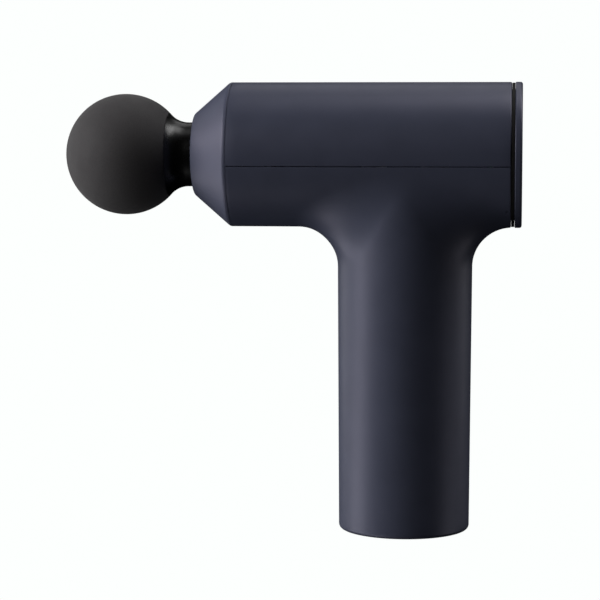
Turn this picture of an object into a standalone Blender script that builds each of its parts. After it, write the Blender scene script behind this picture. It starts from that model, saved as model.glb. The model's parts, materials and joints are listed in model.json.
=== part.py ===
"""Compact percussion massage gun, modelled piece by piece.

Metres, +Z up. The origin is the centre of the handle's flat bottom face, the nose points along -X
and the barrel's axis is parallel to X at the height AXIS_Z.
"""
import math

import bmesh
import bpy
from mathutils import Matrix, Vector

# ---------------------------------------------------------------- driving dimensions (metres)
GAP = 0.0003                 # clearance left between pieces that touch on the real product

AXIS_Z = 0.1148              # height of the barrel's axis above the base
BARREL_R = 0.0220
BARREL_WALL = 0.0018
BARREL_FRONT = -0.0524       # front end of the barrel shells
BARREL_REAR = 0.0321         # rear end of the barrel shells
SEAM_DROP = 0.0032           # parting line between cover and housing, below the barrel's axis

HANDLE_BASE_R = 0.0200
HANDLE_TOP_R = 0.0205        # slight draft, so the handle is wider where it meets the barrel
HANDLE_WALL = 0.0016
BASE_EDGE_R = 0.0014         # rounding round the bottom of the handle
BLEND_R = 0.0120             # fillet between handle and barrel, in front of and behind the handle
BLEND_SWELL = 1.8            # how much larger that fillet is at the handle's two sides

COLLAR_FRONT = -0.06445
COLLAR_MOUTH_R = 0.0105
COLLAR_FRONT_R = 0.01244     # sharp front corner, before rounding
COLLAR_CORNER = -0.0534      # where the cone reaches the barrel's radius
COLLAR_REAR = -0.0527
SPIGOT_R = 0.0199            # collar and rear cap plug into the barrel by this radius

CAP_FRONT = 0.0332
GASKET_R = 0.0218            # nearly fills the groove in front of the rear cap
CAP_REAR = 0.03534
CAP_R = 0.02205

BALL_R = 0.01853
BALL_X = -0.0860
NECK_R = 0.0098
NECK_START = -0.0665         # where the flare runs out into the straight neck
PLUG_R = 0.0073
STEM_CORE_R = 0.0090         # the stem's core, inside the ball
STEM_TIP_X = -0.0910
PLUG_FRONT = -0.0600
PLUG_REAR = -0.0440
RING_XS = {"head_ring_front": -0.0555, "head_ring_rear": -0.0485}

STROKE = 0.0060
CRANK_R = STROKE / 2
PISTON_R = 0.0095
SOCKET_R = 0.0077
WRIST_X = -0.0330            # wrist pin at mid stroke
WRIST_PIN_R = 0.0015
WRIST_PIN_PLAY = (0.00085, 0.00175)  # clearance in the rod's oval eye, along and across
ROD_OFFSET = CRANK_R / 2     # sideways place of the rod's small end at rest
CRANK_PIN_R = 0.0025
ROD_HALF = 0.0025            # half the rod's thickness, about the barrel's axis

SHAFT_R = 0.0020
BELL_R = 0.0163
CELL_R = 0.0090
CELL_LENGTH = 0.0650
CELL_BOTTOM = 0.0112

BUTTON_R = 0.0080
BUTTON_STEM_FRONT = 0.0303   # end of the button's stem, half a millimetre from the switch
LIGHT_R = 0.0009
LIGHT_YS = (-0.0060, 0.0, 0.0060)
LIGHT_DROP = 0.0125          # speed lights, below the barrel's axis

FRAME_FEET = ((-0.0270, -0.0090), (-0.0270, 0.0090), (0.0200, -0.0080), (0.0200, 0.0080))
BOSS_R = 0.0026
SCREW_HOLE_R = 0.0013
PLATE_TOP = -0.0090          # the drive frame's plate, from the barrel's axis
PLATE_BOTTOM = -0.0112
BOSS_TOP = PLATE_BOTTOM - GAP
TONGUE_XS = (-0.0300, 0.0120)
MOTOR_SCREW_CIRCLE = 0.0090

BOARD_FRONT = 0.0249         # control board, across the barrel behind the motor
BOARD_REAR = 0.0265
BOARD_POSTS = {"left": -0.0130, "right": 0.0130}

BASE_PLATE = 0.0026
BASE_SCREWS = {"left": -0.0135, "right": 0.0135}
USB_X = 0.0090
CHARGE_LIGHT_X = -0.0110

SCREW_OVERLAP = 0.0002       # shank joined into the head
SCREW_SLOT = 0.0005          # width and depth of a screw's drive slot

FINE = 48                    # steps round large visible shells
ROUND = 28                   # steps round medium pieces
SMALL = 12                   # steps round pins and screws

# ---------------------------------------------------------------- looks: linear colour, roughness, metallic
SLATE = ((0.060, 0.060, 0.085), 0.45, 0.0)
COLLAR_SLATE = ((0.085, 0.085, 0.115), 0.42, 0.0)
BLACK_FOAM = ((0.018, 0.018, 0.018), 0.85, 0.0)
GLOSS_BLACK = ((0.008, 0.008, 0.009), 0.12, 0.0)
RUBBER = ((0.020, 0.020, 0.021), 0.75, 0.0)
NYLON = ((0.035, 0.035, 0.037), 0.55, 0.0)
ALUMINIUM = ((0.60, 0.61, 0.63), 0.35, 1.0)
STEEL = ((0.50, 0.50, 0.51), 0.28, 1.0)
LAMINATION = ((0.22, 0.22, 0.24), 0.50, 1.0)
ACETAL = ((0.62, 0.61, 0.56), 0.45, 0.0)
COPPER = ((0.72, 0.32, 0.14), 0.35, 1.0)
NICKEL = ((0.62, 0.60, 0.56), 0.30, 1.0)
CELL_SLEEVE = ((0.06, 0.22, 0.42), 0.35, 0.0)
BOARD_GREEN = ((0.02, 0.14, 0.06), 0.45, 0.0)
LIGHT_PIPE = ((0.75, 0.78, 0.80), 0.25, 0.0)
RED_WIRE = ((0.45, 0.02, 0.02), 0.45, 0.0)
BLACK_WIRE = ((0.015, 0.015, 0.015), 0.45, 0.0)
YELLOW_WIRE = ((0.60, 0.45, 0.04), 0.45, 0.0)

for old in list(bpy.data.objects):
    bpy.data.objects.remove(old, do_unlink=True)

parts = bpy.data.collections.new("massage_gun")
cutters = bpy.data.collections.new("cutters")
bpy.context.scene.collection.children.link(parts)
bpy.context.scene.collection.children.link(cutters)


# ---------------------------------------------------------------- modelling helpers
def add_object(name, mesh):
    """A new object in the parts collection."""
    piece = bpy.data.objects.new(name, mesh)
    parts.objects.link(piece)
    return piece


def finish(piece, look):
    """Give a piece its own Principled material."""
    colour, roughness, metallic = look
    material = bpy.data.materials.new(piece.name)
    material.use_nodes = True
    shader = material.node_tree.nodes["Principled BSDF"]
    shader.inputs["Base Color"].default_value = (*colour, 1.0)
    shader.inputs["Roughness"].default_value = roughness
    shader.inputs["Metallic"].default_value = metallic
    material.diffuse_color = (*colour, 1.0)
    piece.data.materials.append(material)
    return piece


def as_tool(piece):
    """Turn an object into a hidden boolean tool."""
    parts.objects.unlink(piece)
    cutters.objects.link(piece)
    piece.hide_render = True
    piece.display_type = "WIRE"
    return piece


def boolean(piece, tool, operation):
    """Cut with, or join on, a tool object."""
    if tool.name not in cutters.objects:
        as_tool(tool)
    modifier = piece.modifiers.new(tool.name, "BOOLEAN")
    modifier.operation = operation
    modifier.solver = "EXACT"
    modifier.object = tool


def cut(piece, *tools):
    """Take each tool away from the piece."""
    for tool in tools:
        boolean(piece, tool, "DIFFERENCE")


def join(piece, *tools):
    """Add each tool to the piece."""
    for tool in tools:
        boolean(piece, tool, "UNION")


def split_faces(piece):
    """Triangulate here, so that the next boolean meets no ring-shaped face."""
    piece.modifiers.new("Triangulate", "TRIANGULATE")


def mesh_from(name, bm):
    """Turn a bmesh into a mesh with smooth round faces and sharp edges."""
    mesh = bpy.data.meshes.new(name)
    bm.to_mesh(mesh)
    bm.free()
    mesh.shade_smooth()
    mesh.set_sharp_from_angle(angle=math.radians(35))
    return mesh


def block(name, low, high, bevel=0.0):
    """A box between two corners, with its edges rounded if bevel is given."""
    low, high = Vector(low), Vector(high)
    size = high - low
    bm = bmesh.new()
    bmesh.ops.create_cube(bm, size=1.0, matrix=Matrix.Diagonal((*size, 1.0)))
    piece = add_object(name, mesh_from(name, bm))
    piece.location = (low + high) / 2
    if bevel:
        rounding = piece.modifiers.new("Bevel", "BEVEL")
        rounding.width = bevel
        rounding.segments = 2
    return piece


def rod(name, radius, start, end, steps=SMALL):
    """A cylinder from one end point to the other."""
    start, end = Vector(start), Vector(end)
    bm = bmesh.new()
    bmesh.ops.create_cone(bm, cap_ends=True, segments=steps, radius1=radius, radius2=radius,
                          depth=(end - start).length)
    piece = add_object(name, mesh_from(name, bm))
    piece.location = (start + end) / 2
    piece.rotation_mode = "QUATERNION"
    piece.rotation_quaternion = (end - start).to_track_quat("Z", "Y")
    return piece


def turned(name, outline, steps):
    """A profile of (radius, height) points swept round the object's own Z axis.

    The outline runs down the outer side. It is closed, unless both ends lie on the axis.
    """
    mesh = bpy.data.meshes.new(name)
    points = [(radius, 0.0, height) for radius, height in outline]
    edges = [(i, i + 1) for i in range(len(points) - 1)]
    if outline[0][0] > 0.0 or outline[-1][0] > 0.0:
        edges.append((len(points) - 1, 0))
    mesh.from_pydata(points, edges, [])
    piece = add_object(name, mesh)
    screw = piece.modifiers.new("Screw", "SCREW")
    screw.steps = steps
    screw.render_steps = steps
    screw.use_merge_vertices = True
    screw.merge_threshold = 0.00001
    screw.use_smooth_shade = True
    return piece


def turned_z(name, outline, steps=ROUND, place=(0.0, 0.0)):
    """A turned piece on a vertical axis; the outline holds (radius, z) from the top down."""
    piece = turned(name, outline, steps)
    piece.location = (place[0], place[1], 0.0)
    return piece


def turned_x(name, outline, steps=ROUND):
    """A turned piece on the barrel's axis; the outline holds (radius, x) from the nose back."""
    piece = turned(name, [(radius, -x) for radius, x in outline], steps)
    piece.location = (0.0, 0.0, AXIS_Z)
    piece.rotation_euler = (0.0, -math.pi / 2, 0.0)
    return piece


def arc(centre, radius, start, end, count):
    """Points (radius, height) on a circle, from one angle to another in degrees."""
    points = []
    for i in range(count + 1):
        angle = math.radians(start + (end - start) * i / count)
        points.append((centre[0] + radius * math.cos(angle), centre[1] + radius * math.sin(angle)))
    return points


def rounded_corner(before, corner, after, radius, count=2):
    """Points of the arc that rounds one corner of an outline."""
    before, corner, after = Vector(before), Vector(corner), Vector(after)
    back = (before - corner).normalized()
    forth = (after - corner).normalized()
    half = back.angle(forth) / 2
    centre = corner + (back + forth).normalized() * radius / math.sin(half)
    first = (corner + back * radius / math.tan(half)) - centre
    last = (corner + forth * radius / math.tan(half)) - centre
    turn = first.angle_signed(last)
    points = []
    for i in range(count + 1):
        spoke = first.copy()
        spoke.rotate(Matrix.Rotation(-turn * i / count, 2))
        points.append(tuple(centre + spoke))
    return points


def axis_height(rise):
    """World height of a level given from the barrel's axis."""
    return AXIS_Z + rise


def carry(joint, *pieces):
    """Parent pieces to the empty on their joint, leaving them where they are."""
    for piece in pieces:
        piece.parent = joint
        piece.matrix_parent_inverse = Matrix.Translation(joint.location).inverted()


def joint_empty(name, place):
    """An empty on a joint's axis, to carry the pieces that move together."""
    empty = bpy.data.objects.new(name, None)
    empty.empty_display_size = 0.005
    empty.location = place
    parts.objects.link(empty)
    return empty


def tube_along(name, points, radius, sides=2):
    """A lead: a poly curve with round section and caps, turned into a mesh."""
    curve = bpy.data.curves.new(name, "CURVE")
    curve.dimensions = "3D"
    curve.bevel_depth = radius
    curve.bevel_resolution = sides
    curve.use_fill_caps = True
    curve.render_resolution_u = 0
    spline = curve.splines.new("POLY")
    spline.points.add(len(points) - 1)
    for spot, point in zip(spline.points, points):
        spot.co = (*point, 1.0)
    guide = add_object(name + "_route", curve)
    bpy.context.view_layer.update()
    mesh = bpy.data.meshes.new_from_object(guide.evaluated_get(bpy.context.evaluated_depsgraph_get()))
    bpy.data.objects.remove(guide, do_unlink=True)
    bm = bmesh.new()
    bm.from_mesh(mesh)
    bmesh.ops.remove_doubles(bm, verts=bm.verts, dist=0.00001)
    bmesh.ops.recalc_face_normals(bm, faces=bm.faces)
    return add_object(name, mesh_from(name, bm))


def smooth_route(anchors, steps=4):
    """Points on a Catmull-Rom curve through the anchors."""
    spots = [Vector(spot) for spot in anchors]
    spots = [2 * spots[0] - spots[1], *spots, 2 * spots[-1] - spots[-2]]
    route = []
    for i in range(1, len(spots) - 2):
        a, b, c, d = spots[i - 1:i + 3]
        for k in range(steps):
            t = k / steps
            route.append(0.5 * (2 * b + (c - a) * t + (2 * a - 5 * b + 4 * c - d) * t ** 2
                                + (3 * b - a - 3 * c + d) * t ** 3))
    route.append(spots[-2])
    return route


def screw(name, head_r, shank_r, head_face, head_seat, tip):
    """A pan-head screw given by its head's outer face, its seat and its tip, with a drive slot."""
    head_face, head_seat, tip = Vector(head_face), Vector(head_seat), Vector(tip)
    along = (tip - head_face).normalized()
    piece = rod(name, head_r, head_face, head_seat)
    join(piece, rod(name + "_shank", shank_r, head_seat - along * SCREW_OVERLAP, tip, 12))
    half_slot = Vector((head_r * 1.2, SCREW_SLOT / 2, SCREW_SLOT))
    slot = block(name + "_slot", -half_slot, half_slot)
    slot.location = head_face
    slot.rotation_mode = "QUATERNION"
    slot.rotation_quaternion = along.to_track_quat("Z", "X")
    cut(piece, slot)
    return finish(piece, STEEL)


# ---------------------------------------------------------------- casing
def junction_loft(name, base_rings, inset):
    """The handle flaring into the barrel by a rolling-ball fillet, closed inside the barrel.

    base_rings holds (radius, z) of the round sections below the fillet, from the bottom up. inset is
    how far the surface lies inside the outer skin.
    """
    shaft_r, barrel_r = HANDLE_TOP_R - inset, BARREL_R - inset
    spokes = [2 * math.pi * (i + 0.5) / FINE for i in range(FINE)]
    rings = []
    for radius, z in base_rings:
        rings.append([Vector((radius * math.cos(a), radius * math.sin(a), z)) for a in spokes])
    arc_steps = 6
    fillet = [[] for _ in range(arc_steps + 1)]
    closing = []
    for a in spokes:
        blend_r = BLEND_R * (1 + BLEND_SWELL * math.sin(a) ** 2) + inset
        reach = shaft_r + blend_r
        side = reach * math.sin(a)
        centre = Vector((reach * math.cos(a), side, -math.sqrt((barrel_r + blend_r) ** 2 - side ** 2)))
        to_shaft = Vector((-math.cos(a), -math.sin(a), 0.0))
        to_barrel = Vector((0.0, -centre.y, -centre.z)).normalized()
        for k in range(arc_steps + 1):
            spot = centre + blend_r * to_shaft.slerp(to_barrel, k / arc_steps)
            fillet[k].append(Vector((spot.x, spot.y, axis_height(spot.z))))
        contact = fillet[-1][-1]
        closing.append(Vector((contact.x * 0.8, contact.y * 0.8, axis_height(-0.004))))
    rings.extend(fillet)
    rings.append(closing)

    bm = bmesh.new()
    loops = [[bm.verts.new(spot) for spot in ring] for ring in rings]
    for lower, upper in zip(loops, loops[1:]):
        for i in range(FINE):
            j = (i + 1) % FINE
            bm.faces.new((lower[i], lower[j], upper[j], upper[i]))
    bm.faces.new(list(reversed(loops[0])))
    bm.faces.new(loops[-1])
    return add_object(name, mesh_from(name, bm))


def barrel_tube(name, outer, inner, front, rear, steps=FINE):
    """A length of tube on the barrel's axis; inner of 0 makes it solid."""
    outline = [(inner, front), (outer, front), (outer, rear), (inner, rear)]
    return turned_x(name, outline, steps)


def make_main_housing():
    """Handle and lower half of the barrel in one moulding, with bosses for the drive frame."""
    edge = arc((HANDLE_BASE_R - BASE_EDGE_R, BASE_EDGE_R), BASE_EDGE_R, -90, 0, 2)
    housing = junction_loft("main_housing", edge, 0.0)
    join(housing, barrel_tube("housing_barrel", BARREL_R, 0.0, BARREL_FRONT, BARREL_REAR + 0.002))
    cut(housing, block("housing_rear_trim", (BARREL_REAR, -0.03, 0.07), (0.05, 0.03, 0.15)))

    cavity = junction_loft("housing_cavity", [(HANDLE_BASE_R - HANDLE_WALL, -0.002)], BARREL_WALL)
    join(cavity, barrel_tube("barrel_cavity", BARREL_R - BARREL_WALL, 0.0, BARREL_FRONT - 0.005,
                             BARREL_REAR + 0.005))
    for i, (x, y) in enumerate(FRAME_FEET):
        cut(cavity, rod(f"boss_{i}", BOSS_R, (x, y, axis_height(-0.045)), (x, y, axis_height(BOSS_TOP))))
    cut(housing, cavity)
    split_faces(housing)
    for i, (x, y) in enumerate(FRAME_FEET):
        hole_foot = axis_height(BOSS_TOP - 0.0055)
        cut(housing, rod(f"boss_hole_{i}", SCREW_HOLE_R, (x, y, hole_foot), (x, y, axis_height(0.0)), 12))
    seam = axis_height(-SEAM_DROP - GAP / 2)
    cut(housing, block("housing_seam_trim", (-0.06, -0.03, seam), (0.05, 0.03, seam + 0.04)))
    return finish(housing, SLATE)


def make_top_cover():
    """Upper shell of the barrel, with four snap tongues that reach down inside the housing."""
    inner = BARREL_R - BARREL_WALL
    cover = barrel_tube("top_cover", BARREL_R, inner, BARREL_FRONT, BARREL_REAR)
    seam = axis_height(-SEAM_DROP + GAP / 2)
    cut(cover, block("cover_seam_trim", (-0.06, -0.03, seam - 0.04), (0.05, 0.03, seam)))
    for x in TONGUE_XS:
        for side in (-1, 1):
            root = sorted((side * 0.0174, side * 0.0209))
            tip = sorted((side * 0.0174, side * 0.0187))
            where = f"{'left' if side < 0 else 'right'}_{'front' if x < 0 else 'rear'}"
            join(cover, block(f"tongue_root_{where}", (x - 0.004, root[0], axis_height(-0.0025)),
                              (x + 0.004, root[1], axis_height(0.0015))))
            join(cover, block(f"tongue_tip_{where}", (x - 0.0035, tip[0], axis_height(-0.0065)),
                              (x + 0.0035, tip[1], axis_height(0.0010))))
    return finish(cover, SLATE)


def make_nose_collar():
    """Cone that closes the front of the barrel, with a spigot that holds the shells together."""
    corner = (COLLAR_CORNER, BARREL_R)
    front = (COLLAR_FRONT, COLLAR_FRONT_R)
    rim = rounded_corner((COLLAR_FRONT, COLLAR_MOUTH_R), front, corner, 0.0011)
    shoulder = rounded_corner(front, corner, (COLLAR_REAR, BARREL_R), 0.0014)
    outline = [(COLLAR_MOUTH_R, COLLAR_FRONT)]
    outline += [(radius, x) for x, radius in rim + shoulder]
    outline += [(BARREL_R, COLLAR_REAR), (SPIGOT_R, COLLAR_REAR), (SPIGOT_R, COLLAR_REAR + 0.0042),
                (0.0183, COLLAR_REAR + 0.0042), (0.0183, -0.0548), (0.0117, -0.0623),
                (COLLAR_MOUTH_R, -0.0623)]
    return finish(turned_x("nose_collar", outline, FINE), COLLAR_SLATE)


def make_seals():
    """Dust seal round the neck, inside the collar, and the gasket in the rear groove."""
    seal = turned_x("dust_seal", [(0.0101, -0.0620), (0.0115, -0.0620), (0.0115, -0.0604),
                                  (0.0101, -0.0604)])
    finish(seal, RUBBER)
    gasket = barrel_tube("rear_gasket", GASKET_R, SPIGOT_R + GAP, BARREL_REAR + 0.0002, CAP_FRONT - 0.0002,
                         ROUND)
    finish(gasket, RUBBER)


def make_rear_cap():
    """Thin disc with a spigot; it carries the button, the speed lights and the control board."""
    edge = 0.0004
    inside = SPIGOT_R - 0.0015
    outline = [(inside, CAP_FRONT - 0.0045), (SPIGOT_R, CAP_FRONT - 0.0045), (SPIGOT_R, CAP_FRONT),
               (CAP_R - edge, CAP_FRONT), (CAP_R, CAP_FRONT + edge), (CAP_R, CAP_REAR - 2 * edge),
               (CAP_R - 2 * edge, CAP_REAR), (BUTTON_R + GAP, CAP_REAR), (BUTTON_R + GAP, CAP_FRONT),
               (inside, CAP_FRONT)]
    cap = turned_x("rear_cap", outline, FINE)
    for side, y in BOARD_POSTS.items():
        join(cap, rod(f"board_post_{side}", 0.0022, (BOARD_REAR + GAP, y, AXIS_Z),
                      (CAP_FRONT + 0.0005, y, AXIS_Z)))
        cut(cap, rod(f"board_post_hole_{side}", 0.0013, (BOARD_REAR - 0.001, y, AXIS_Z),
                     (BOARD_REAR + 0.0055, y, AXIS_Z), 12))
    for i, y in enumerate(LIGHT_YS):
        spot = axis_height(-LIGHT_DROP)
        cut(cap, rod(f"light_hole_{i}", LIGHT_R + 0.0002, (CAP_FRONT - 0.01, y, spot),
                     (CAP_REAR + 0.001, y, spot)))
    return finish(cap, SLATE)


def make_button():
    """Round power button behind the rear cap, on an empty for its travel."""
    outline = [(0.0, BUTTON_STEM_FRONT), (0.0016, BUTTON_STEM_FRONT), (0.0016, 0.0313), (0.0092, 0.0313),
               (0.0092, CAP_FRONT - GAP), (BUTTON_R, CAP_FRONT - GAP), (BUTTON_R, CAP_REAR - 0.0006),
               (BUTTON_R - 0.0004, CAP_REAR - 0.0002), (0.0, CAP_REAR - 0.0002)]
    button = finish(turned_x("power_button", outline), SLATE)
    carry(joint_empty("button_travel", (BUTTON_STEM_FRONT, 0.0, AXIS_Z)), button)


def make_speed_lights():
    """Three light pipes below the button, from the board's lamps to the rear face."""
    for i, y in enumerate(LIGHT_YS):
        spot = axis_height(-LIGHT_DROP)
        pipe = rod(f"speed_light_{i + 1}", LIGHT_R, (BOARD_REAR + 0.0012, y, spot), (CAP_REAR, y, spot), 16)
        finish(pipe, LIGHT_PIPE)


def make_base():
    """Base cap flush with the handle's rim, its screws, the charge light and the charging inlet."""
    cap_r = HANDLE_BASE_R - HANDLE_WALL - GAP
    cap = turned_z("base_cap", [(0.0, BASE_PLATE), (cap_r - 0.0012, BASE_PLATE), (cap_r - 0.0012, 0.0046),
                                (cap_r, 0.0046), (cap_r, 0.0), (0.0, 0.0)])
    cut(cap, block("usb_slot", (USB_X - 0.00165, -0.0046, -0.001), (USB_X + 0.00165, 0.0046, 0.004), 0.0012))
    cut(cap, rod("charge_light_hole", 0.0011, (CHARGE_LIGHT_X, 0, -0.001), (CHARGE_LIGHT_X, 0, 0.004), 16))
    for side, y in BASE_SCREWS.items():
        cut(cap, rod(f"base_screw_seat_{side}", 0.0023, (0, y, -0.001), (0, y, 0.0014)))
        cut(cap, rod(f"base_screw_hole_{side}", 0.0013, (0, y, -0.001), (0, y, 0.004), 12))
        screw(f"base_screw_{side}", 0.0020, 0.0010, (0, y, 0.0002), (0, y, 0.0011), (0, y, 0.0092))
    finish(cap, SLATE)
    light = rod("charge_light", 0.0009, (CHARGE_LIGHT_X, 0, 0.0002), (CHARGE_LIGHT_X, 0, 0.0052), 16)
    finish(light, LIGHT_PIPE)

    shell = block("usb_socket", (USB_X - 0.00145, -0.0044, 0.0003), (USB_X + 0.00145, 0.0044, 0.0053), 0.0010)
    cut(shell, block("usb_cavity", (USB_X - 0.0012, -0.00415, -0.001), (USB_X + 0.0012, 0.00415, 0.0046),
                     0.0008))
    join(shell, block("usb_tongue", (USB_X - 0.00035, -0.0033, 0.0010), (USB_X + 0.00035, 0.0033, 0.0049)))
    finish(shell, STEEL)


# ---------------------------------------------------------------- massage head
def make_head():
    """Ball on a flared stem, whose plug is held in the piston by two rubber rings."""
    seam_angle = math.degrees(math.asin(0.0127 / BALL_R))
    seam_x = BALL_X + math.sqrt(BALL_R ** 2 - 0.0127 ** 2)
    skin = [(radius, BALL_X - height)
            for radius, height in arc((0.0, 0.0), BALL_R, 90, seam_angle - 90, 11)]
    skin[0] = (0.0, BALL_X - BALL_R)
    bore = STEM_CORE_R + GAP
    skin += [(bore, seam_x), (bore, STEM_TIP_X - GAP), (0.0, STEM_TIP_X - GAP)]
    ball = turned_x("ball_head", skin, FINE)
    finish(ball, BLACK_FOAM)

    # the flare is an arc tangent to the neck and to the ball
    span = NECK_START - BALL_X
    flare_r = (span ** 2 + NECK_R ** 2 - BALL_R ** 2) / (2 * (BALL_R - NECK_R))
    front_x = seam_x + GAP
    lean = math.asin((NECK_START - front_x) / flare_r)
    flare = []
    for k in range(6):
        angle = lean * (1 - k / 5)
        flare.append((NECK_R + flare_r * (1 - math.cos(angle)), NECK_START - flare_r * math.sin(angle)))
    outline = [(0.0, STEM_TIP_X), (STEM_CORE_R - 0.001, STEM_TIP_X), (STEM_CORE_R, STEM_TIP_X + 0.001)]
    outline += [(STEM_CORE_R, front_x)] + flare
    outline += [(NECK_R, PLUG_FRONT), (PLUG_R, PLUG_FRONT)]
    groove = 0.00095
    for x in sorted(RING_XS.values()):
        outline += [(PLUG_R, x - groove), (PLUG_R - 0.0012, x - groove),
                    (PLUG_R - 0.0012, x + groove), (PLUG_R, x + groove)]
    outline += [(PLUG_R, PLUG_REAR - 0.001), (PLUG_R - 0.001, PLUG_REAR), (0.0, PLUG_REAR)]
    stem = finish(turned_x("head_stem", outline), GLOSS_BLACK)

    joint = joint_empty("head_pull", (PLUG_FRONT, 0.0, AXIS_Z))
    carry(joint, ball, stem)
    for name, x in RING_XS.items():
        bead = arc((PLUG_R - 0.0003, 0.0), 0.0006, 45, -225, 3)
        section = [(radius, x - height) for radius, height in bead]
        carry(joint, finish(turned_x(name, section, 24), RUBBER))


# ---------------------------------------------------------------- percussion drive
def make_piston():
    """Piston with the head's socket, its clevis and wrist pin, and the bush that guides it."""
    piston_front, socket_end, piston_rear = -0.0597, -0.0430, -0.0400
    outline = [(0.0, socket_end), (SOCKET_R, socket_end), (SOCKET_R, piston_front + 0.0005),
               (SOCKET_R + 0.0005, piston_front), (PISTON_R - 0.0004, piston_front),
               (PISTON_R, piston_front + 0.0004), (PISTON_R, piston_rear), (0.0, piston_rear)]
    piston = turned_x("piston", outline)
    ear_r, ear_low, ear_high = 0.0055, ROD_HALF + 0.0006, 0.0063
    for side, low, high in (("lower", -ear_high, -ear_low), ("upper", ear_low, ear_high)):
        join(piston, block(f"clevis_{side}", (piston_rear - 0.0005, -ear_r, axis_height(low)),
                           (WRIST_X, ear_r, axis_height(high))))
        join(piston, rod(f"clevis_end_{side}", ear_r, (WRIST_X, 0, axis_height(low)),
                         (WRIST_X, 0, axis_height(high)), 24))
    cut(piston, rod("wrist_hole", WRIST_PIN_R + GAP, (WRIST_X, 0, axis_height(-0.01)),
                    (WRIST_X, 0, axis_height(0.01)), 16))
    finish(piston, ALUMINIUM)
    pin = finish(rod("wrist_pin", WRIST_PIN_R, (WRIST_X, 0, axis_height(-0.0060)),
                     (WRIST_X, 0, axis_height(0.0060)), 16), STEEL)
    carry(joint_empty("piston_slide", (WRIST_X, 0.0, AXIS_Z)), piston, pin)
    bush = turned_x("piston_bush", [(PISTON_R + 0.0002, -0.0560), (0.0120, -0.0560), (0.0120, -0.0383),
                                    (PISTON_R + 0.0002, -0.0383)])
    finish(bush, ACETAL)


def make_connecting_rod():
    """Connecting rod with its big-end bearing, on an empty at the crank pin."""
    low, high = axis_height(-ROD_HALF), axis_height(ROD_HALF)
    bearing_r, race_half = 0.0065, 0.0023
    rod_body = rod("connecting_rod", bearing_r + 0.0028, (0, CRANK_R, low), (0, CRANK_R, high), 28)
    join(rod_body, rod("small_end", 0.0054, (WRIST_X, ROD_OFFSET, low), (WRIST_X, ROD_OFFSET, high), 20))
    beam = block("rod_beam", (-0.0150, -0.0030, -0.0018), (0.0150, 0.0030, 0.0018))
    beam.location = (WRIST_X / 2, (CRANK_R + ROD_OFFSET) / 2, AXIS_Z)
    beam.rotation_euler.z = math.atan2(ROD_OFFSET - CRANK_R, WRIST_X) - math.pi
    join(rod_body, beam)
    cut(rod_body, rod("bearing_seat", bearing_r + GAP, (0, CRANK_R, low - 0.001),
                      (0, CRANK_R, high + 0.001), 24))
    half_x, half_y = (WRIST_PIN_R + play for play in WRIST_PIN_PLAY)
    cut(rod_body, block("oval_eye", (WRIST_X - half_x, ROD_OFFSET - half_y, low - 0.003),
                        (WRIST_X + half_x, ROD_OFFSET + half_y, high + 0.003), 0.0018))
    finish(rod_body, ALUMINIUM)

    inner, lip, dish = CRANK_PIN_R + GAP, 0.0011, 0.0004
    race = [(inner, race_half), (inner + lip, race_half), (inner + lip, race_half - dish),
            (bearing_r - lip, race_half - dish), (bearing_r - lip, race_half), (bearing_r, race_half),
            (bearing_r, -race_half), (inner, -race_half)]
    bearing = turned_z("big_end_bearing", [(radius, axis_height(rise)) for radius, rise in race],
                       24, (0.0, CRANK_R))
    finish(bearing, STEEL)
    carry(joint_empty("rod_swing", (0.0, CRANK_R, AXIS_Z)), rod_body, bearing)


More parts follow.
